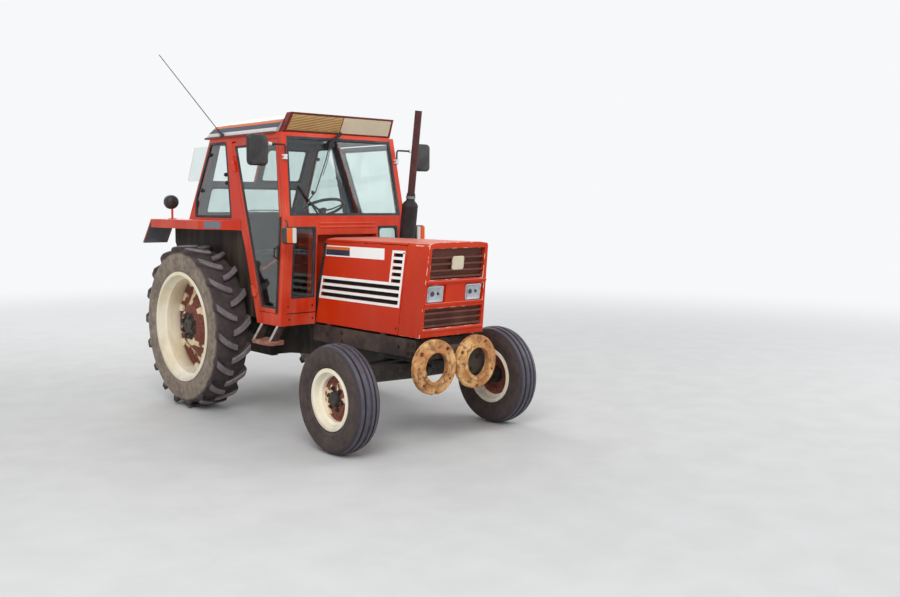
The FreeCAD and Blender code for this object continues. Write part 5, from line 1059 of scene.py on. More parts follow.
def make_bonnet():
    softened("bonnet_nose", nose_red, 0.005)
    softened("bonnet_top", body_red, 0.006, body="bonnet_lid")
    softened("bonnet_sides", body_red, 0.003)
    softened("grilles", grille_brown, 0.0015)
    vents, decals = Shape(), Shape()
    low, pitch, slot, edge = 1.045, 0.054, 0.032, 0.020
    long_rows = [(low + n * pitch, low + n * pitch + slot) for n in range(3)]
    short_low, short_slot = low + 3 * pitch, slot * 0.85
    short_pitch = short_slot + 0.022 * 0.95
    short_rows = [(short_low + n * short_pitch, short_low + n * short_pitch + short_slot) for n in range(5)]

    def rear(z):
        return rear_edge_y(z) - 0.060

    def rear_out(z):
        return rear(z) + edge

    def front(z):
        return lean_y(2.247, z)

    def front_out(z):
        return front(z) - edge

    def column(z):
        return lean_y(2.137, z)

    def column_out(z):
        return column(z) + edge

    def bar(y0, y1, z0, z1):
        vents.loops(side_plate([(y0(z0), z0), (y1(z0), z0), (y1(z1), z1), (y0(z1), z1)], 0.0, 0.0022))

    bottoms = [long_rows[0][0] - edge] + [high for low, high in long_rows]
    tops = [low for low, high in long_rows] + [short_low]
    for z0, z1 in zip(bottoms, tops):
        bar(rear_out, front_out, z0, z1)
    for z0, z1 in long_rows:
        bar(rear_out, rear, z0, z1)
        bar(front, front_out, z0, z1)
    for number, (z0, z1) in enumerate(short_rows):
        bar(column_out, column, z0, z1)
        bar(front, front_out, z0, z1)
        top = short_rows[number + 1][0] if number + 1 < len(short_rows) else z1 + edge
        bar(column_out, front_out, z1, top)
    vents.mirrored().make("bonnet_vent_trim", trim_cream, "roof_white")
    # blank white panel with an orange stripe over a navy block at its rear end
    near, far, stripe_end = rear_axle.y - 1.335, rear_axle.y - 2.098, rear_axle.y - 1.660
    for y0, y1, z0, z1, lift, mark in [(near, far, 1.370, 1.455, 0.0, 0),
                                       (near - 0.004, stripe_end, 1.424, 1.447, 0.0012, 1),
                                       (near - 0.004, stripe_end, 1.380, 1.424, 0.0012, 2)]:
        decals.loops(side_plate([(y0, z0), (y1, z0), (y1, z1), (y0, z1)], lift, lift + 0.0012), mark=mark)
    decals.mirrored().make("bonnet_side_stripes", [trim_cream, stripe_orange, stripe_navy], "roof_white")

    # black rubber along each side's rear edge, before the cab
    corners = [(rear_edge_y(z) - inset, z) for z, inset in
               ((0.826, 0.0005), (side_top - 0.004, 0.0005), (side_top - 0.004, 0.040), (0.826, 0.040))]
    Shape().loops(side_plate(corners, -0.001, 0.002)).mirrored().make("bonnet_rear_seals", black_plastic,
                                                                      "black_plastic")
    # a dark sheet behind the vents and grilles, painted shade, so that the slots look into shade
    outline = [(rear_edge_y(1.02) - 0.03, 1.02), (lean_y(2.25, 1.02), 1.02), (lean_y(2.25, 1.46), 1.46),
               (lean_y(2.08, 1.46), 1.46), (lean_y(2.08, 1.24), 1.24), (rear_edge_y(1.24) - 0.03, 1.24)]
    Shape().loops(side_plate(outline, -0.0215, -0.0245)).mirrored().make("bonnet_vent_mesh", bay_dark)
    # blank plate in the upper grille
    Shape().pressed((-0.055, 0.055, 1.312, 1.412), ((0.012, 0, 0.016), (0.001, 0, 0.016), (-0.003, 0.004, 0.016)),
                    on_nose).make("grille_blank_plate", sign_cream)
    bolts("bonnet_catches", [((side * bonnet_half(z), lean_y(2.255, z), z), (side, 0, 0))
                             for word, side in sides for z in (0.87, 1.43)], 0.007, 0.004, dark_steel)


def make_headlamps():
    x, z0, z1, half = 0.187, 1.079, 1.197, 0.075
    middle_z, tall = (z0 + z1) / 2, (z1 - z0 - 0.02) / 2
    shell, glass, bulbs, ledge = Shape(), Shape(), Shape(), Shape()
    rings = []
    for inset, behind in ((0.0, 0.034), (0.0, 0.012), (0.005, 0.011), (0.010, 0.014)):
        rings.append([on_nose(px, pz, behind) for px, pz in
                      rounded_rectangle(x - half + inset, x + half - inset, z0 + inset, z1 - inset, 0.014)])
    for share in (0.80, 0.60, 0.40, 0.20, 0.02):
        wide = (half - 0.010) * share
        rings.append([on_nose(px, pz, 0.014 + 0.009 * (1 - share * share)) for px, pz in
                      rounded_rectangle(x - wide, x + wide, middle_z - tall * share, middle_z + tall * share,
                                        0.012 * share)])
    shell.loops(rings).mirrored().make("headlamp_reflectors", reflector_silver, "lamp_glass", replaces=["headlamps"])
    for side in (1, -1):
        for dx, radius in ((-0.024, 0.019), (0.032, 0.012)):
            bulbs.turned([(0.0, 0.0), (0.0, radius), (0.006, radius), (0.012, radius * 0.6), (0.012, 0.0)],
                         on_nose(side * x + dx, middle_z, 0.0245) + Vector((0, 0, 0.004)),
                         (Vector((0, -1, 0)), Vector((1, 0, 0)), Vector((0, 0, 1))), 18)
    bulbs.make("headlamp_bulbs", grille_dark, "lamp_glass")
    glass.pressed((x - half + 0.006, x + half - 0.006, z0 + 0.006, z1 - 0.006),
                  ((0.0115, 0, 0.012), (0.0085, 0, 0.012)), on_nose)
    glass.mirrored().make("headlamp_lenses", lens_clear, "lamp_glass")
    # rounded ledges under the upper grille and round the lamp openings
    for z, half_width, proud in ((1.226, 0.292, 0.010), (1.064, 0.292, 0.005), (0.870, 0.300, 0.005)):
        section = [(0.003, -0.012), (-proud, -0.008), (-proud - 0.002, 0.0), (-proud, 0.008), (0.003, 0.012)]
        ledge.loops([[on_nose(px, z + dz, dy) for dy, dz in section] for px in (-half_width, half_width)])
    ledge.make("nose_ledges", nose_red, "red_paint")


def make_exhaust():
    foot, lean, across = Vector((0.378, -0.730, 1.370)), math.radians(8), Vector((1, 0, 0))
    along = Vector((0, -math.sin(lean), math.cos(lean)))
    axis = (along, across, along.cross(across))
    Shape().turned([(0.0, 0.0), (0.0, 0.040), (0.012, 0.058), (0.030, 0.0665), (0.034, 0.068), (0.040, 0.0665),
                    (0.400, 0.0665), (0.406, 0.068), (0.412, 0.0665), (0.430, 0.058), (0.448, 0.040), (0.456, 0.036),
                    (0.512, 0.035), (0.512, 0.0)], foot, axis, 40).make("exhaust_muffler", muffler_black,
                                                                        "muffler_black", replaces=["exhaust"])
    Shape().turned([(0.500, 0.0), (0.500, 0.0300), (0.508, 0.0300), (1.188, 0.0288), (1.188, 0.0250),
                    (1.130, 0.0250), (1.130, 0.0)], foot, axis, 32).make("exhaust_pipe", pipe_rust, "muffler_black")
    Shape().turned([(0.470, 0.034), (0.470, 0.0395), (0.492, 0.0395), (0.492, 0.034)], foot, axis,
                   32).make("exhaust_clamp", bright_steel)
    start = foot + along * 0.055
    Shape().tube([start + across * x for x in (-0.085, -0.05, 0)], 0.032, 20).make("exhaust_elbow", pipe_rust,
                                                                                  "muffler_black")


make_bonnet()
make_headlamps()
make_exhaust()


# Cab

def lean_front(z):
    """The y of the visor's front face at a height."""
    return -0.305 - 0.595 * (z - 2.360)


def side_x(z):
    """How far out the cab's side stands at a height."""
    return 0.6638 - 0.0600 * (z - 0.81)


def facing_in(middle, normal):
    return normal.x * middle.x < 0 and abs(normal.x) > 0.6


# Slot 1 is painted shade: the fenders' undersides, the walls beside the tyres, and their inner and rear faces take
# the dark brown-grey
def fender_zone(middle, normal):
    if middle.y > 1.592 and middle.z < 1.634:
        return 2
    if facing_in(middle, normal):
        return 1 if abs(middle.x) > 0.6 else 3
    if abs(normal.x) > 0.6 and abs(middle.x) < 0.6:
        return 1
    return 1 if normal.y > 0.6 or (normal.z < -0.5 and middle.z > 1.5) else 0


def make_cab():
    softened("cab_side_frames", [cab_red, trim_grey], 0.004, facing_in)
    # the inner faces of the front wall, and of the rear wall below the windows, take the dark lining, which is
    # painted shade
    softened("cab_front_wall", [cab_red, lining_painted_shade], 0.003, lambda m, n: n.y > 0.6)
    softened("cab_rear_wall", [cab_red, trim_grey, lining_painted_shade], 0.004,
             lambda m, n: 0 if n.y > -0.4 else (2 if m.z < 1.66 else 1))
    softened("cab_floor", boot_rubber, 0.003)
    for word, side in sides:
        softened(f"door_frame_{word}", [cab_red, trim_grey], 0.004, facing_in, f"door_{word}")
    dress(window_glass, "door_glass_left", "door_glass_right", "windscreen", "fixed_windows", "rear_leaf")
    dress(black_plastic, "aerial")
    # the fenders' second finish is painted shade round the tyres
    softened("fenders", [cab_red, fender_shade, flap_rubber, fender_inner], 0.003, fender_zone)
    softened("cab_roof", [roof_paint, trim_grey], 0.005, lambda m, n: n.z < -0.7)
    softened("roof_visor", [visor_frame, cab_red], 0.002, lambda m, n: m.z < 2.361)


def make_roof_trim():
    """Stripes on the roof's leaning sides, and the dark gutter under it."""
    stripes, gutter = Shape(), Shape()
    out = Vector((0.894, 0, 0.447))
    for low, high, mark in ((2.398, 2.436, 1), (2.436, 2.457, 0)):
        corners = [(z, -0.262 - 0.59 * (z - 2.398)) for z in (low, high)]
        corners[1:1] = [(z, 0.872 - 1.35 * (z - 2.398)) for z in (low, high)]
        flat = [Vector((0.571 - 0.5 * (z - 2.388), y, z)) for z, y in corners]
        stripes.loops([[point + out * lift for point in flat] for lift in (-0.002, 0.0014)], mark=mark)
    gutter.box((0.556, -0.235, 2.350), (0.586, 0.918, 2.3595))
    gutter.box((0.581, -0.235, 2.3595), (0.586, 0.918, 2.366))
    gutter.mirrored().box((-0.586, 0.900, 2.350), (0.586, 0.922, 2.3595))
    stripes.mirrored().make("roof_stripes", [stripe_orange, stripe_navy], "roof_white")
    gutter.make("roof_gutter", gutter_red, "red_paint")


def visor_point(x, z, proud):
    return Vector((x, lean_front(z) - 0.86 * proud, z - 0.51 * proud))


def make_visor_panels():
    """On the visor a vent with slanting slats beside a blank sign."""
    low, high = 2.3765, 2.4965
    edge = [(0.515 - 0.155 * (z - 2.370), z) for z in (low, high)]
    outline = [(0.004, low), *edge, (0.004, high)]
    sign, vent = Shape(), Shape()
    sign.loops([[visor_point(x, z, proud) for x, z in outline] for proud in (-0.004, 0.0022)])
    vent.loops([[visor_point(-x, z, proud) for x, z in outline] for proud in (-0.004, 0.0012)])
    sign.make("visor_blank_sign", sign_cream, "visor_tan")
    # slats climb towards the tractor's middle, and end at the panel's edges
    slope, left, right = 0.22, -0.497, -0.010
    for k in range(-5, 8):
        start_z = 2.380 + k * 0.0205
        ends = [[x, start_z + slope * (x - left)] for x in (left, right)]
        if ends[1][1] < low + 0.006 or ends[0][1] > high - 0.006:
            continue
        if ends[0][1] < low + 0.004:
            ends[0] = [left + (low + 0.004 - start_z) / slope, low + 0.004]
        if ends[1][1] > high - 0.010:
            ends[1] = [left + (high - 0.010 - start_z) / slope, high - 0.010]
        vent.loops([[visor_point(x, z + dz, proud) for dz, proud in
                     ((-0.002, 0.0010), (0, 0.0060), (0.004, 0.0064), (0.010, 0.0010))] for x, z in ends])
    vent.make("visor_vent_panel", visor_tan, "visor_tan")


# Seals round every pane, from the pane's own outline

def panes(node):
    """The outward faces of the glass in a node: (corners, direction)."""
    shaped = merged(node)
    middle = Vector((0, 0.35, 1.6))
    found = [([v.co.copy() for v in face.verts], face.normal.copy()) for face in shaped.faces
             if face.calc_area() > 0.02 and (face.calc_center_median() - middle).dot(face.normal) > 0]
    shaped.free()
    return found


def rounded_outline(corners, radius, steps=5):
    result = []
    for i, corner in enumerate(corners):
        back, ahead = corners[i - 1] - corner, corners[(i + 1) % len(corners)] - corner
        reach = min(radius / math.tan(back.angle(ahead) / 2), 0.45 * back.length, 0.45 * ahead.length)
        start, end = corner + back.normalized() * reach, corner + ahead.normalized() * reach
        for k in range(steps + 1):
            t = k / steps
            result.append(start * (1 - t) ** 2 + corner * (2 * t * (1 - t)) + end * t ** 2)
    return result


def inset_outline(outline, normal, amount):
    result = []
    for i, point in enumerate(outline):
        before = normal.cross((point - outline[i - 1]).normalized())
        after = normal.cross((outline[(i + 1) % len(outline)] - point).normalized())
        result.append(point + (before + after) * (amount / max(0.3, 1 + before.dot(after))))
    return result


def add_seals(shape, node, width, radius, outer=0.009, inner=0.014):
    """Its outside corners fill the opening's corners, and its inside corners are round."""
    overlap = 0.006
    section = [(-overlap, -inner), (width - 0.003, -inner), (width, -inner + 0.003), (width, outer - 0.004),
               (width - 0.004, outer), (-overlap + 0.003, outer), (-overlap, outer - 0.003)]
    for corners, normal in panes(node):
        rings = []
        for inward, lift in section:
            outline = rounded_outline(corners, 0.005 + (inward + overlap) / (width + overlap) * radius)
            rings.append([point + normal * lift for point in inset_outline(outline, normal, inward)])
        shape.loops(rings + rings[:1], caps=False)
    return shape


def make_seals():
    seals = add_seals(Shape(), "windscreen", 0.021, 0.03)
    add_seals(seals, "fixed_windows", 0.017, 0.045).make("window_seals", seal_rubber, "black_plastic")
    for word, side in sides:
        add_seals(Shape(), f"door_glass_{word}", 0.017, 0.03, 0.006, 0.010).make(
            f"door_seal_{word}", seal_rubber, "black_plastic", f"door_{word}")
    # knobs that hold the quarter windows
    spots = [((side * (side_x(z) - 0.006), y, z), (side, 0, 0.06)) for word, side in sides
             for y, z in ((0.845, 2.215), (0.975, 1.900), (0.545, 2.034), (0.525, 1.964))]
    bolts("quarter_window_knobs", spots, 0.013, 0.016, black_plastic)


def on_screen(x, z, proud):
    """A point in front of the windscreen."""
    return Vector((x, -0.418 + 0.164 * (z - 1.690) - proud, z))


def make_wiper():
    motor = Shape().tube([(-0.005, -0.350, 2.372), (-0.060, -0.352, 2.330), (-0.115, -0.352, 2.278)],
                         [0.014, 0.015, 0.012], 10)
    motor.box((-0.140, -0.372, 2.252), (-0.092, -0.333, 2.292)).make("wiper_motor", muffler_black, "black_plastic")
    elbow = on_screen(-0.300, 1.885, 0.018)
    arm = Shape().tube([on_screen(-0.118, 2.262, 0.020), on_screen(-0.170, 2.150, 0.024), elbow],
                       [0.006, 0.005, 0.004], 8)
    arm.tube([on_screen(x, z, 0.020) for x, z in ((-0.104, 2.262), (-0.158, 2.130), (-0.214, 2.020))], 0.003, 8)
    arm.make("wiper_arm", black_plastic, "black_plastic")
    blade = Shape()
    ends = (on_screen(-0.452, 1.930, 0.0), on_screen(-0.289, 1.700, 0.0))
    across = (ends[1] - ends[0]).normalized().cross(Vector((0, -1, 0))).normalized()
    for near, far, half in ((0.0005, 0.008, 0.003), (0.008, 0.016, 0.007)):
        blade.loops([[end + across * s + Vector((0, -p, 0)) for s, p in
                      ((-half, near), (half, near), (half * 0.7, far), (-half * 0.7, far))] for end in ends])
    blade.tube([(ends[0] + ends[1]) / 2 + Vector((0, -0.012, 0)), elbow], 0.005, 8)
    blade.make("wiper_blade", black_plastic, "black_plastic")


def make_doors():
    for word, side in sides:
        body = f"door_{word}"

        def at(y, z, out=0.0):
            return Vector((side * (side_x(z) + 0.0052 + out), y, z))

        bar = Shape().tube([at(-0.335, 1.365, -0.036), at(-0.300, 1.350, -0.052), at(-0.110, 1.262, -0.052),
                            at(-0.080, 1.248, -0.036)], 0.011, 12)
        bar.make(f"door_inner_bar_{word}", cab_red, "red_paint", body)
        handle = Shape().loops([[at(y, z, out) for y, z in
                                 ((-0.372 + dy, 1.455 - dz), (-0.352 - dy, 1.455 - dz), (-0.352 - dy, 1.335 + dz),
                                  (-0.372 + dy, 1.335 + dz))]
                                for out, dy, dz in ((-0.008, 0.0, 0.0), (0.006, 0.0, 0.0), (0.011, 0.004, 0.006))])
        handle.tube([at(-0.358, 1.440, 0.008), at(-0.350, 1.425, 0.030), at(-0.350, 1.365, 0.030),
                     at(-0.358, 1.350, 0.008)], 0.0065, 10)
        handle.make(f"door_handle_{word}", black_plastic, "black_plastic", body)
        # hinge blocks on the slanting post behind the door
        blocks = Shape()
        for share in (0.10, 0.86):
            rings = []
            for out, inset in ((-0.004, 0.0), (0.010, 0.0), (0.014, 0.004)):
                ring = []
                for along, across in ((-1, -1), (1, -1), (1, 1), (-1, 1)):
                    height = share + along * (0.032 - inset)
                    ring.append(at(-0.062 + 0.52 * height + across * (0.017 - inset), 0.93 + 1.36 * height, out))
                rings.append(ring)
            blocks.loops(rings)
        blocks.make(f"door_hinge_blocks_{word}", cab_red, "red_paint", body)
        # the black strip that seals the door against its front post; its width also paints the shade in the gap and
        # on the post's chamfer
        strip = Shape().tube([at(-0.376, 0.925, -0.019), at(-0.376, 1.685, -0.019)], 0.007, 8)
        strip.tube([at(-0.376, 1.690, -0.019), at(-0.279, 2.296, -0.019)], 0.007, 8)
        strip.loops([[at(y, z, out) for y, z in ((-0.379, 0.915), (-0.379, 1.682), (-0.356, 1.676), (-0.356, 0.915))]
                     for out in (-0.004, 0.0012)])
        strip.make(f"door_front_seal_{word}", black_plastic, "black_plastic", body)


def make_wall_details():
    """The pressed panel under the windscreen with its sill, and beads and screws on the rear wall."""
    rib, beads, front, rear = Shape(), Shape(), -0.430, 1.2975
    for z in (1.628, 1.597):
        section = [(0.003, -0.010), (-0.004, -0.006), (-0.0055, 0.0), (-0.004, 0.006), (0.003, 0.010)]
        rib.loops([[(x, front + dy, z + dz) for dy, dz in section] for x in (-0.285, 0.285)])
    rib.make("front_panel_ribs", cab_red, "red_paint")
    section = [(0.003, -0.0035), (-0.0015, -0.0035), (-0.0015, 0.0035), (0.003, 0.0035)]
    seam = Shape().loops([[(x, front + dy, 0.908 + dz) for dy, dz in section] for x in (0.330, 0.608)])
    seam.mirrored().make("front_panel_seam", grille_dark, "black_plastic")
    spots = [((side * x, front - 0.0002, z), (0, -1, 0)) for word, side in sides
             for x, z in ((0.36, 0.86), (0.58, 0.86), (0.36, 0.965), (0.59, 0.965))]
    bolts("front_panel_screws", spots, 0.006, 0.004, dark_steel)
    rows = [(rear + out, inset, radius) for out, inset, radius in
            ((-0.002, 0, 0.05), (0.001, 0, 0.05), (0.0055, 0.008, 0.042), (0.001, 0.016, 0.036),
             (-0.002, 0.016, 0.036), (-0.002, 0, 0.05))]
    for z0, z1 in ((1.020, 1.235), (1.285, 1.560)):
        beads.pressed((0.075, 0.480, z0, z1), rows, caps=False)
    beads.mirrored().make("rear_wall_beads", cab_red, "red_paint")
    spots = [((x, rear, z), (0, 1, 0)) for x in (-0.515, 0.515) for z in (0.87, 1.10, 1.33, 1.56)]
    spots += [((x, rear, 0.87), (0, 1, 0)) for x in (-0.26, 0.26)]
    bolts("rear_wall_screws", spots, 0.006, 0.005, dark_steel)


make_cab()
make_roof_trim()
make_visor_panels()
make_seals()
make_wiper()
make_doors()
make_wall_details()


# Lamps, mirrors, steps, aerial: made on the left side and mirrored

def make_mirrors():
    heads, faces, clamps = Shape(), Shape(), Shape()
    bounds = (0.742, 0.918, 2.080, 2.320)
    heads.pressed(bounds, [(y, inset, 0.036 - inset) for y, inset in
                           ((-0.4215, 0.026), (-0.4190, 0.012), (-0.4110, 0.003), (-0.4000, 0.0), (-0.3825, 0.0),
                            (-0.3825, 0.007), (-0.3860, 0.009))]).mirrored()
    faces.pressed(bounds, [(y, 0.0088, 0.0272) for y in (-0.3865, -0.3845)])
    for word, side in sides:
        heads.tube([(side * x, y, z) for x, y, z in
                    ((0.5655, -0.378, 2.132), (0.5655, -0.378, 2.236), (0.571, -0.378, 2.248),
                     (0.582, -0.378, 2.253), (0.710, -0.382, 2.253), (0.752, -0.398, 2.253))], 0.008, 12)
        for ends in (((0.5655, -0.378, 2.138), (0.5655, -0.378, 2.178)),
                     ((0.700, -0.3815, 2.253), (0.738, -0.392, 2.253))):
            clamps.tube([(side * x, y, z) for x, y, z in ends], 0.0145, 14)
        for z in (2.146, 2.170):
            clamps.box((side * 0.552, -0.390, z - 0.006), (side * 0.579, -0.340, z + 0.006))
    heads.make("mirror_heads", black_plastic, "black_plastic", replaces=["mirrors"])
    faces.mirrored().make("mirror_faces", mirror_silver, "mirror_face")
    clamps.make("mirror_clamps", lens_white, "black_plastic")


def make_front_indicators():
    z0, z1, inner, split, outer = 1.473, 1.607, 0.612, 0.652, 0.699
    housing = Shape().pressed((inner, outer, z0, z1), [(y, inset, 0.020) for y, inset in
                                                       ((-0.500, 0.016), (-0.508, 0.006), (-0.530, 0.0),
                                                        (-0.592, 0.0), (-0.594, 0.004))])
    housing.mirrored().make("indicator_housings", black_plastic, "indicator", replaces=["indicator_lamps"])
    for word, material, low, high in (("orange", lens_orange, split, outer), ("white", lens_white, inner, split)):
        lens = Shape().pressed((low + 0.002, high - 0.002, z0 + 0.008, z1 - 0.008),
                               ((-0.590, 0, 0.008), (-0.6015, 0, 0.008), (-0.6045, 0.003, 0.008)))
        lens.mirrored().make(f"indicator_{word}_lenses", material, "indicator")
    arms = Shape()
    for word, side in sides:
        for path, radius, count in (
                (((0.599, -0.432, 1.558), (0.612, -0.470, 1.558), (0.650, -0.512, 1.556)), 0.011, 10),
                (((0.630, -0.500, 1.610), (0.612, -0.470, 1.640), (0.607, -0.433, 1.655)), 0.005, 8)):
            arms.tube([(side * x, y, z) for x, y, z in path], radius, count)
    arms.make("indicator_arms", black_plastic, "black_plastic")


def make_rear_lamps():
    """Work lamps on stands, and a tail lamp block on each fender's rear lip."""
    x, centre = 0.700, (0.700, 0.0, 1.798)
    bowls = Shape().turned([(1.313, 0.0), (1.314, 0.022), (1.320, 0.042), (1.334, 0.058), (1.356, 0.0645),
                            (1.384, 0.0655), (1.391, 0.0645), (1.391, 0.059), (1.384, 0.058), (1.372, 0.040),
                            (1.364, 0.0)], centre, "Y", 40)
    bowls.mirrored().make("work_lamp_bowls", black_plastic, "black_plastic", replaces=["rear_lamps"])
    lenses = Shape().turned([(1.383, 0.0), (1.383, 0.0575), (1.387, 0.0575), (1.391, 0.030), (1.3915, 0.0)],
                            centre, "Y", 40)
    lenses.mirrored().make("work_lamp_lenses", lens_clear, "lamp_glass")
    stands = Shape().tube([(x, 1.352, 1.641), (x, 1.352, 1.735)], 0.010, 12)
    stands.box((x - 0.03, 1.327, 1.6405), (x + 0.03, 1.377, 1.648))
    stands.mirrored().make("work_lamp_stands", cab_red, "red_paint")
    tails = Shape().pressed((0.640, 0.760, 1.572, 1.628), ((1.5898, 0, 0.008), (1.616, 0, 0.008),
                                                           (1.620, 0.004, 0.008)))
    tails.mirrored().make("tail_lamps", lamp_red, "indicator")


def make_steps():
    """A round-cornered tray with a rolled rim and raised bars, on slanting hangers with a bright edge."""
    treads, plates, edges = Shape(), Shape(), Shape()
    low, high = 0.6600, 0.6930
    rows = [(z, inset, 0.040 - inset) for inset, z in
            ((0.004, low), (0.0, low + 0.006), (0.0, high - 0.003), (0.003, high), (0.011, high),
             (0.014, high - 0.004), (0.014, high - 0.012))]
    treads.pressed((0.606, 0.762, -0.420, -0.125), rows, level, 4)
    for k in range(7):
        x = 0.625 + k * 0.0178
        treads.loops([[(x + dx, y, z) for dx, z in ((0.0, low + 0.004), (0.010, low + 0.004), (0.008, high - 0.002),
                                                    (0.002, high - 0.002))] for y in (-0.404, -0.141)])
    for y in (-0.155, -0.392):
        face = ((0.676, 0.668), (0.746, 0.668), (0.746, 0.680), (0.662, 0.8085), (0.596, 0.8085))
        plates.loops([[(x, y + dy, z) for x, z in face] for dy in (-0.0025, 0.0025)])
        edges.loops([[(x + dx, y + dy, z + dx) for dy, dx in
                      ((-0.014, 0.0), (0.014, 0.0), (0.014, 0.004), (-0.014, 0.004))]
                     for x, z in ((0.748, 0.670), (0.747, 0.681), (0.664, 0.8085))])
    treads.mirrored().make("step_treads", step_rust, "rusty_steel", replaces=["steps"])
    plates.mirrored().make("step_hangers", rail_dark, "rusty_steel")
    edges.mirrored().make("step_hanger_edges", strap_steel, "rusty_steel")


def make_small_things():
    Shape().turned([(0.0, 0.0), (0.0, 0.020), (0.006, 0.021), (0.018, 0.012), (0.030, 0.009), (0.030, 0.0)],
                   (-0.5873, 0.597, 2.362), "Z", 20).make("aerial_foot", black_plastic, "black_plastic")
    # grey reflector plates on the slanting front of each fender's lip
    out = Vector((0.909, -0.417, 0))
    corners = [Vector(v) for v in ((0.7740, 0.6034, 1.571), (0.7000, 0.4421, 1.571), (0.7000, 0.4421, 1.632),
                                   (0.7740, 0.6034, 1.632))]
    plates = Shape().loops([[corner + out * lift for corner in corners] for lift in (-0.001, 0.0025)])
    plates.mirrored().make("fender_reflector_plates", reflector_grey, "black_plastic")


make_mirrors()
make_front_indicators()
make_rear_lamps()
make_steps()
make_small_things()


# Inside the cab

def make_steering_wheel():
    low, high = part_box("steering_wheel")
    # the wheel leans back with its column
    up, first = Vector((0, 0.415, 0.910)).normalized(), Vector((1, 0, 0))
    second = up.cross(first)
    axis = (up, first, second)
    centre = (low + high) / 2 + up * 0.004
    radius, grip = 0.189, 0.0125
    wheel = Shape().turned([(grip * math.sin(a), radius + grip * math.cos(a)) for a in circle(14)], centre, axis, 72)
    hub = centre - up * 0.030
    wheel.turned([(-0.050, 0.0), (-0.050, 0.022), (-0.010, 0.026), (0.004, 0.038), (0.016, 0.040), (0.022, 0.034),
                  (0.025, 0.0)], hub, axis, 32)
    for a in circle(3, 0.75):
        way = first * math.cos(a) + second * math.sin(a)
        flat = up.cross(way)
        wheel.loops([[hub + way * reach + up * (lift + t) + flat * s for s, t in
                      ((-half, -0.002), (half, -0.002), (half * 0.7, 0.004), (-half * 0.7, 0.004))]
                     for reach, half, lift in ((0.030, 0.015, 0.004), (0.090, 0.011, 0.006), (0.150, 0.010, 0.020),
                                               (0.187, 0.012, 0.029))])
    wheel.make("steering_wheel_rim", black_plastic, "black_plastic", "steering_wheel_body", ["steering_wheel"], 40.0)


def make_dash():
    softened("dash_and_column", dash_plastic, 0.008)
    normal, right = Vector((0, 0.371, 0.928)).normalized(), Vector((1, 0, 0))
    away, centre = normal.cross(right), Vector((0, -0.262, 1.4705))
    axis = (normal, right, away)
    panel, faces, glow = Shape(), Shape(), Shape()

    def on_panel(u, v, lift):
        return centre + right * u + away * v + normal * lift

    panel.pressed((-0.19, 0.19, -0.045, 0.045), ((-0.001, 0, 0.012), (0.004, 0, 0.012), (0.006, 0.003, 0.012)),
                  on_panel)
    for u, radius in ((-0.125, 0.028), (-0.045, 0.036), (0.045, 0.036), (0.125, 0.028)):
        spot = on_panel(u, 0, 0)
        panel.turned([(0.005, radius), (0.013, radius), (0.013, radius - 0.004), (0.005, radius - 0.004)],
                     spot, axis, 28)
        faces.turned([(0.006, 0.0), (0.006, radius - 0.004), (0.0075, radius - 0.004), (0.0075, 0.0)], spot, axis, 28)
        glow.loops([[on_panel(u + dx, dy, lift) for dx, dy in
                     ((-0.002, -0.003), (0.002, -0.003), (0.010, radius * 0.72))] for lift in (0.0076, 0.009)])
        for a in [math.radians(-120 + 30 * k) for k in range(9)]:
            glow.loops([[on_panel(u + math.sin(a + s) * r, math.cos(a + s) * r, lift) for r, s in
                         ((radius * 0.70, -0.03), (radius * 0.84, -0.03), (radius * 0.84, 0.03),
                          (radius * 0.70, 0.03))] for lift in (0.0077, 0.0083)])
    panel.make("dash_panel", black_plastic, "black_plastic")
    faces.make("dash_gauge_faces", grille_dark, "black_plastic")
    glow.make("dash_gauge_marks", lens_white, "black_plastic")
    bolts("dash_switches", [(on_panel(u, -0.037, 0.004), normal) for u in (-0.16, -0.085, 0.0, 0.085, 0.16)],
          0.006, 0.010, black_plastic)


def swollen(mesh, limit):
    """The cover swells over its filling, in a short cloth run on an even mesh."""
    cover = placed("pad_cover", mesh)
    even = cover.modifiers.new("even", "REMESH")
    even.mode = "VOXEL"
    even.voxel_size = 0.006
    plain = evaluated(cover)
    cover.modifiers.clear()
    cover.data = plain
    settings = cover.modifiers.new("cover", "CLOTH").settings
    settings.use_pressure = True
    settings.uniform_pressure_force = 4.0
    settings.effector_weights.gravity = 0.0
    for number in range(1, 21):
        scene.frame_set(number)
    result = bpy.data.meshes.new_from_object(cover.evaluated_get(bpy.context.evaluated_depsgraph_get()))
    for before, after in zip(plain.vertices, result.vertices):
        move = after.co - before.co
        if move.length > limit:
            after.co = before.co + move * (limit / move.length)
    scene.frame_set(1)
    bpy.data.objects.remove(cover)
    return result


def pad_point(centre, half, axis, across, along, depth):
    """A point of a pad: shares of its half sizes, with the given axis as its depth."""
    shares = [across, along]
    shares.insert(axis, depth)
    return Vector([c + h * share for c, h, share in zip(centre, half, shares)])


def power(value, exponent):
    return math.copysign(abs(value) ** exponent, value)


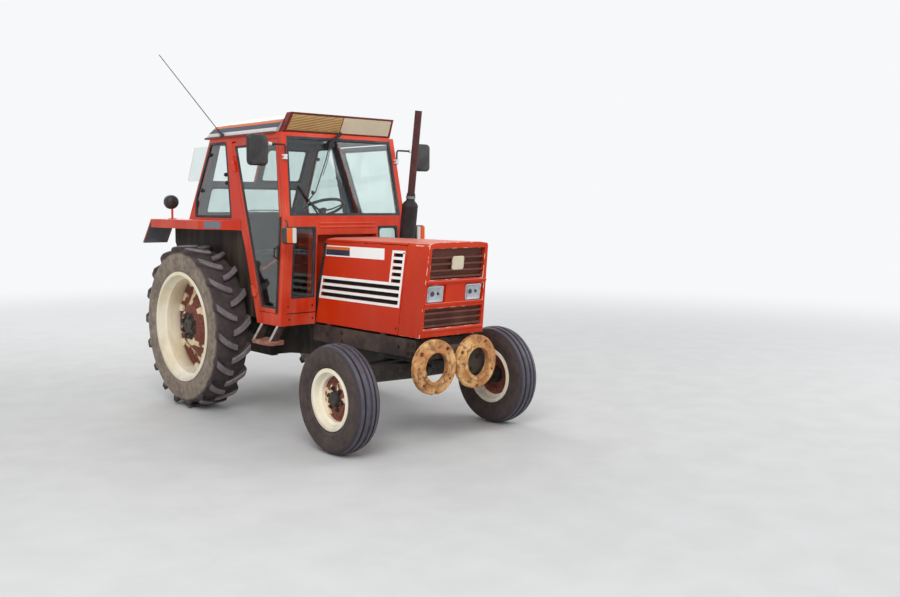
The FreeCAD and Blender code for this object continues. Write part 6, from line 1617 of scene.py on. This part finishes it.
def crowned_pad(name, node, axis, crown=0.22):
    """A seat pad: a soft closed form, crowned on its front, with sewn channels."""
    low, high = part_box(node)
    centre, half = (low + high) / 2, (high - low) / 2
    start = 0.955  # the form starts smaller than its space, because it swells
    rows, columns = 22, 72
    rings = []
    for j in range(1, rows):
        v = -math.pi / 2 + math.pi * j / rows
        ring = []
        for u in circle(columns):
            across = power(math.cos(v), 0.35) * power(math.cos(u), 0.32)
            along = power(math.cos(v), 0.35) * power(math.sin(u), 0.32)
            depth = power(math.sin(v), 0.55)
            if depth > 0:
                depth *= 1 - crown * (across * across + along * along) / 2
            ring.append(pad_point(centre, half, axis, across * start, along * start, depth * start))
        rings.append(ring)
    mesh = Shape().loops(rings).mesh(name)
    mesh = swollen(mesh, 0.012)
    for vertex in mesh.vertices:
        spot = vertex.co
        for i in range(3):
            spot[i] = min(max(spot[i], low[i] + 0.0005), high[i] - 0.0005)
        depth = (spot[axis] - centre[axis]) / half[axis]
        for place in (-0.5, 0.0, 0.5):
            groove = 0.13 * math.exp(-(((spot.x - centre.x) / half.x - place) / 0.045) ** 2)
            spot[axis] -= half[axis] * groove * min(max((depth - 0.1) / 0.3, 0.0), 1.0)
    mesh.materials.clear()
    paint(mesh, seat_cloth)
    finished(name, mesh, "chassis", [node], 70.0)


def make_seat():
    softened("seat_base", cast_dark, 0.006)
    crowned_pad("seat_cushion_pad", "seat_cushion", 2)
    crowned_pad("seat_back_pad", "seat_back", 1)
    piping = Shape()
    for node, axis, depth in (("seat_cushion", 2, 0.30), ("seat_back", 1, -0.3)):
        low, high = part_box(node)
        path = [pad_point((low + high) / 2, (high - low) / 2, axis, 0.985 * power(math.cos(u), 0.34),
                          0.985 * power(math.sin(u), 0.34), depth) for u in circle(48)]
        facing = Vector([1.0 if i == axis else 0.0 for i in range(3)])
        rings = []
        for k, point in enumerate(path):
            other = (path[(k + 1) % len(path)] - path[k - 1]).normalized().cross(facing)
            rings.append([point + (facing * math.cos(a) + other * math.sin(a)) * 0.0045 for a in circle(8)])
        piping.loops(rings + rings[:1], caps=False)
    piping.make("seat_piping", boot_rubber, "seat_cloth")


def lever_tips():
    """The tops of the levers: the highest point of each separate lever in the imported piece."""
    shaped = merged("levers")
    left = set(shaped.verts)
    tips = []
    while left:
        group, edge = set(), [next(iter(left))]
        while edge:
            vertex = edge.pop()
            if vertex not in group:
                group.add(vertex)
                edge += [e.other_vert(vertex) for e in vertex.link_edges]
        left -= group
        top = max(v.co.z for v in group)
        ring = [v.co for v in group if v.co.z > top - 0.004]
        tips.append((sum(p.x for p in ring) / len(ring), sum(p.y for p in ring) / len(ring), top - 0.016))
    shaped.free()
    return sorted(tips)


def make_levers():
    softened("levers", dark_steel, 0.0015)
    knobs = Shape()
    for tip in lever_tips():
        knobs.turned([(-0.020, 0.0), (-0.020, 0.009), (-0.008, 0.014), (0.004, 0.0185), (0.016, 0.016),
                      (0.023, 0.008), (0.025, 0.0)], tip, "Z", 20)
    knobs.make("lever_knobs", black_plastic, "black_plastic")


make_steering_wheel()
make_dash()
make_seat()
make_levers()
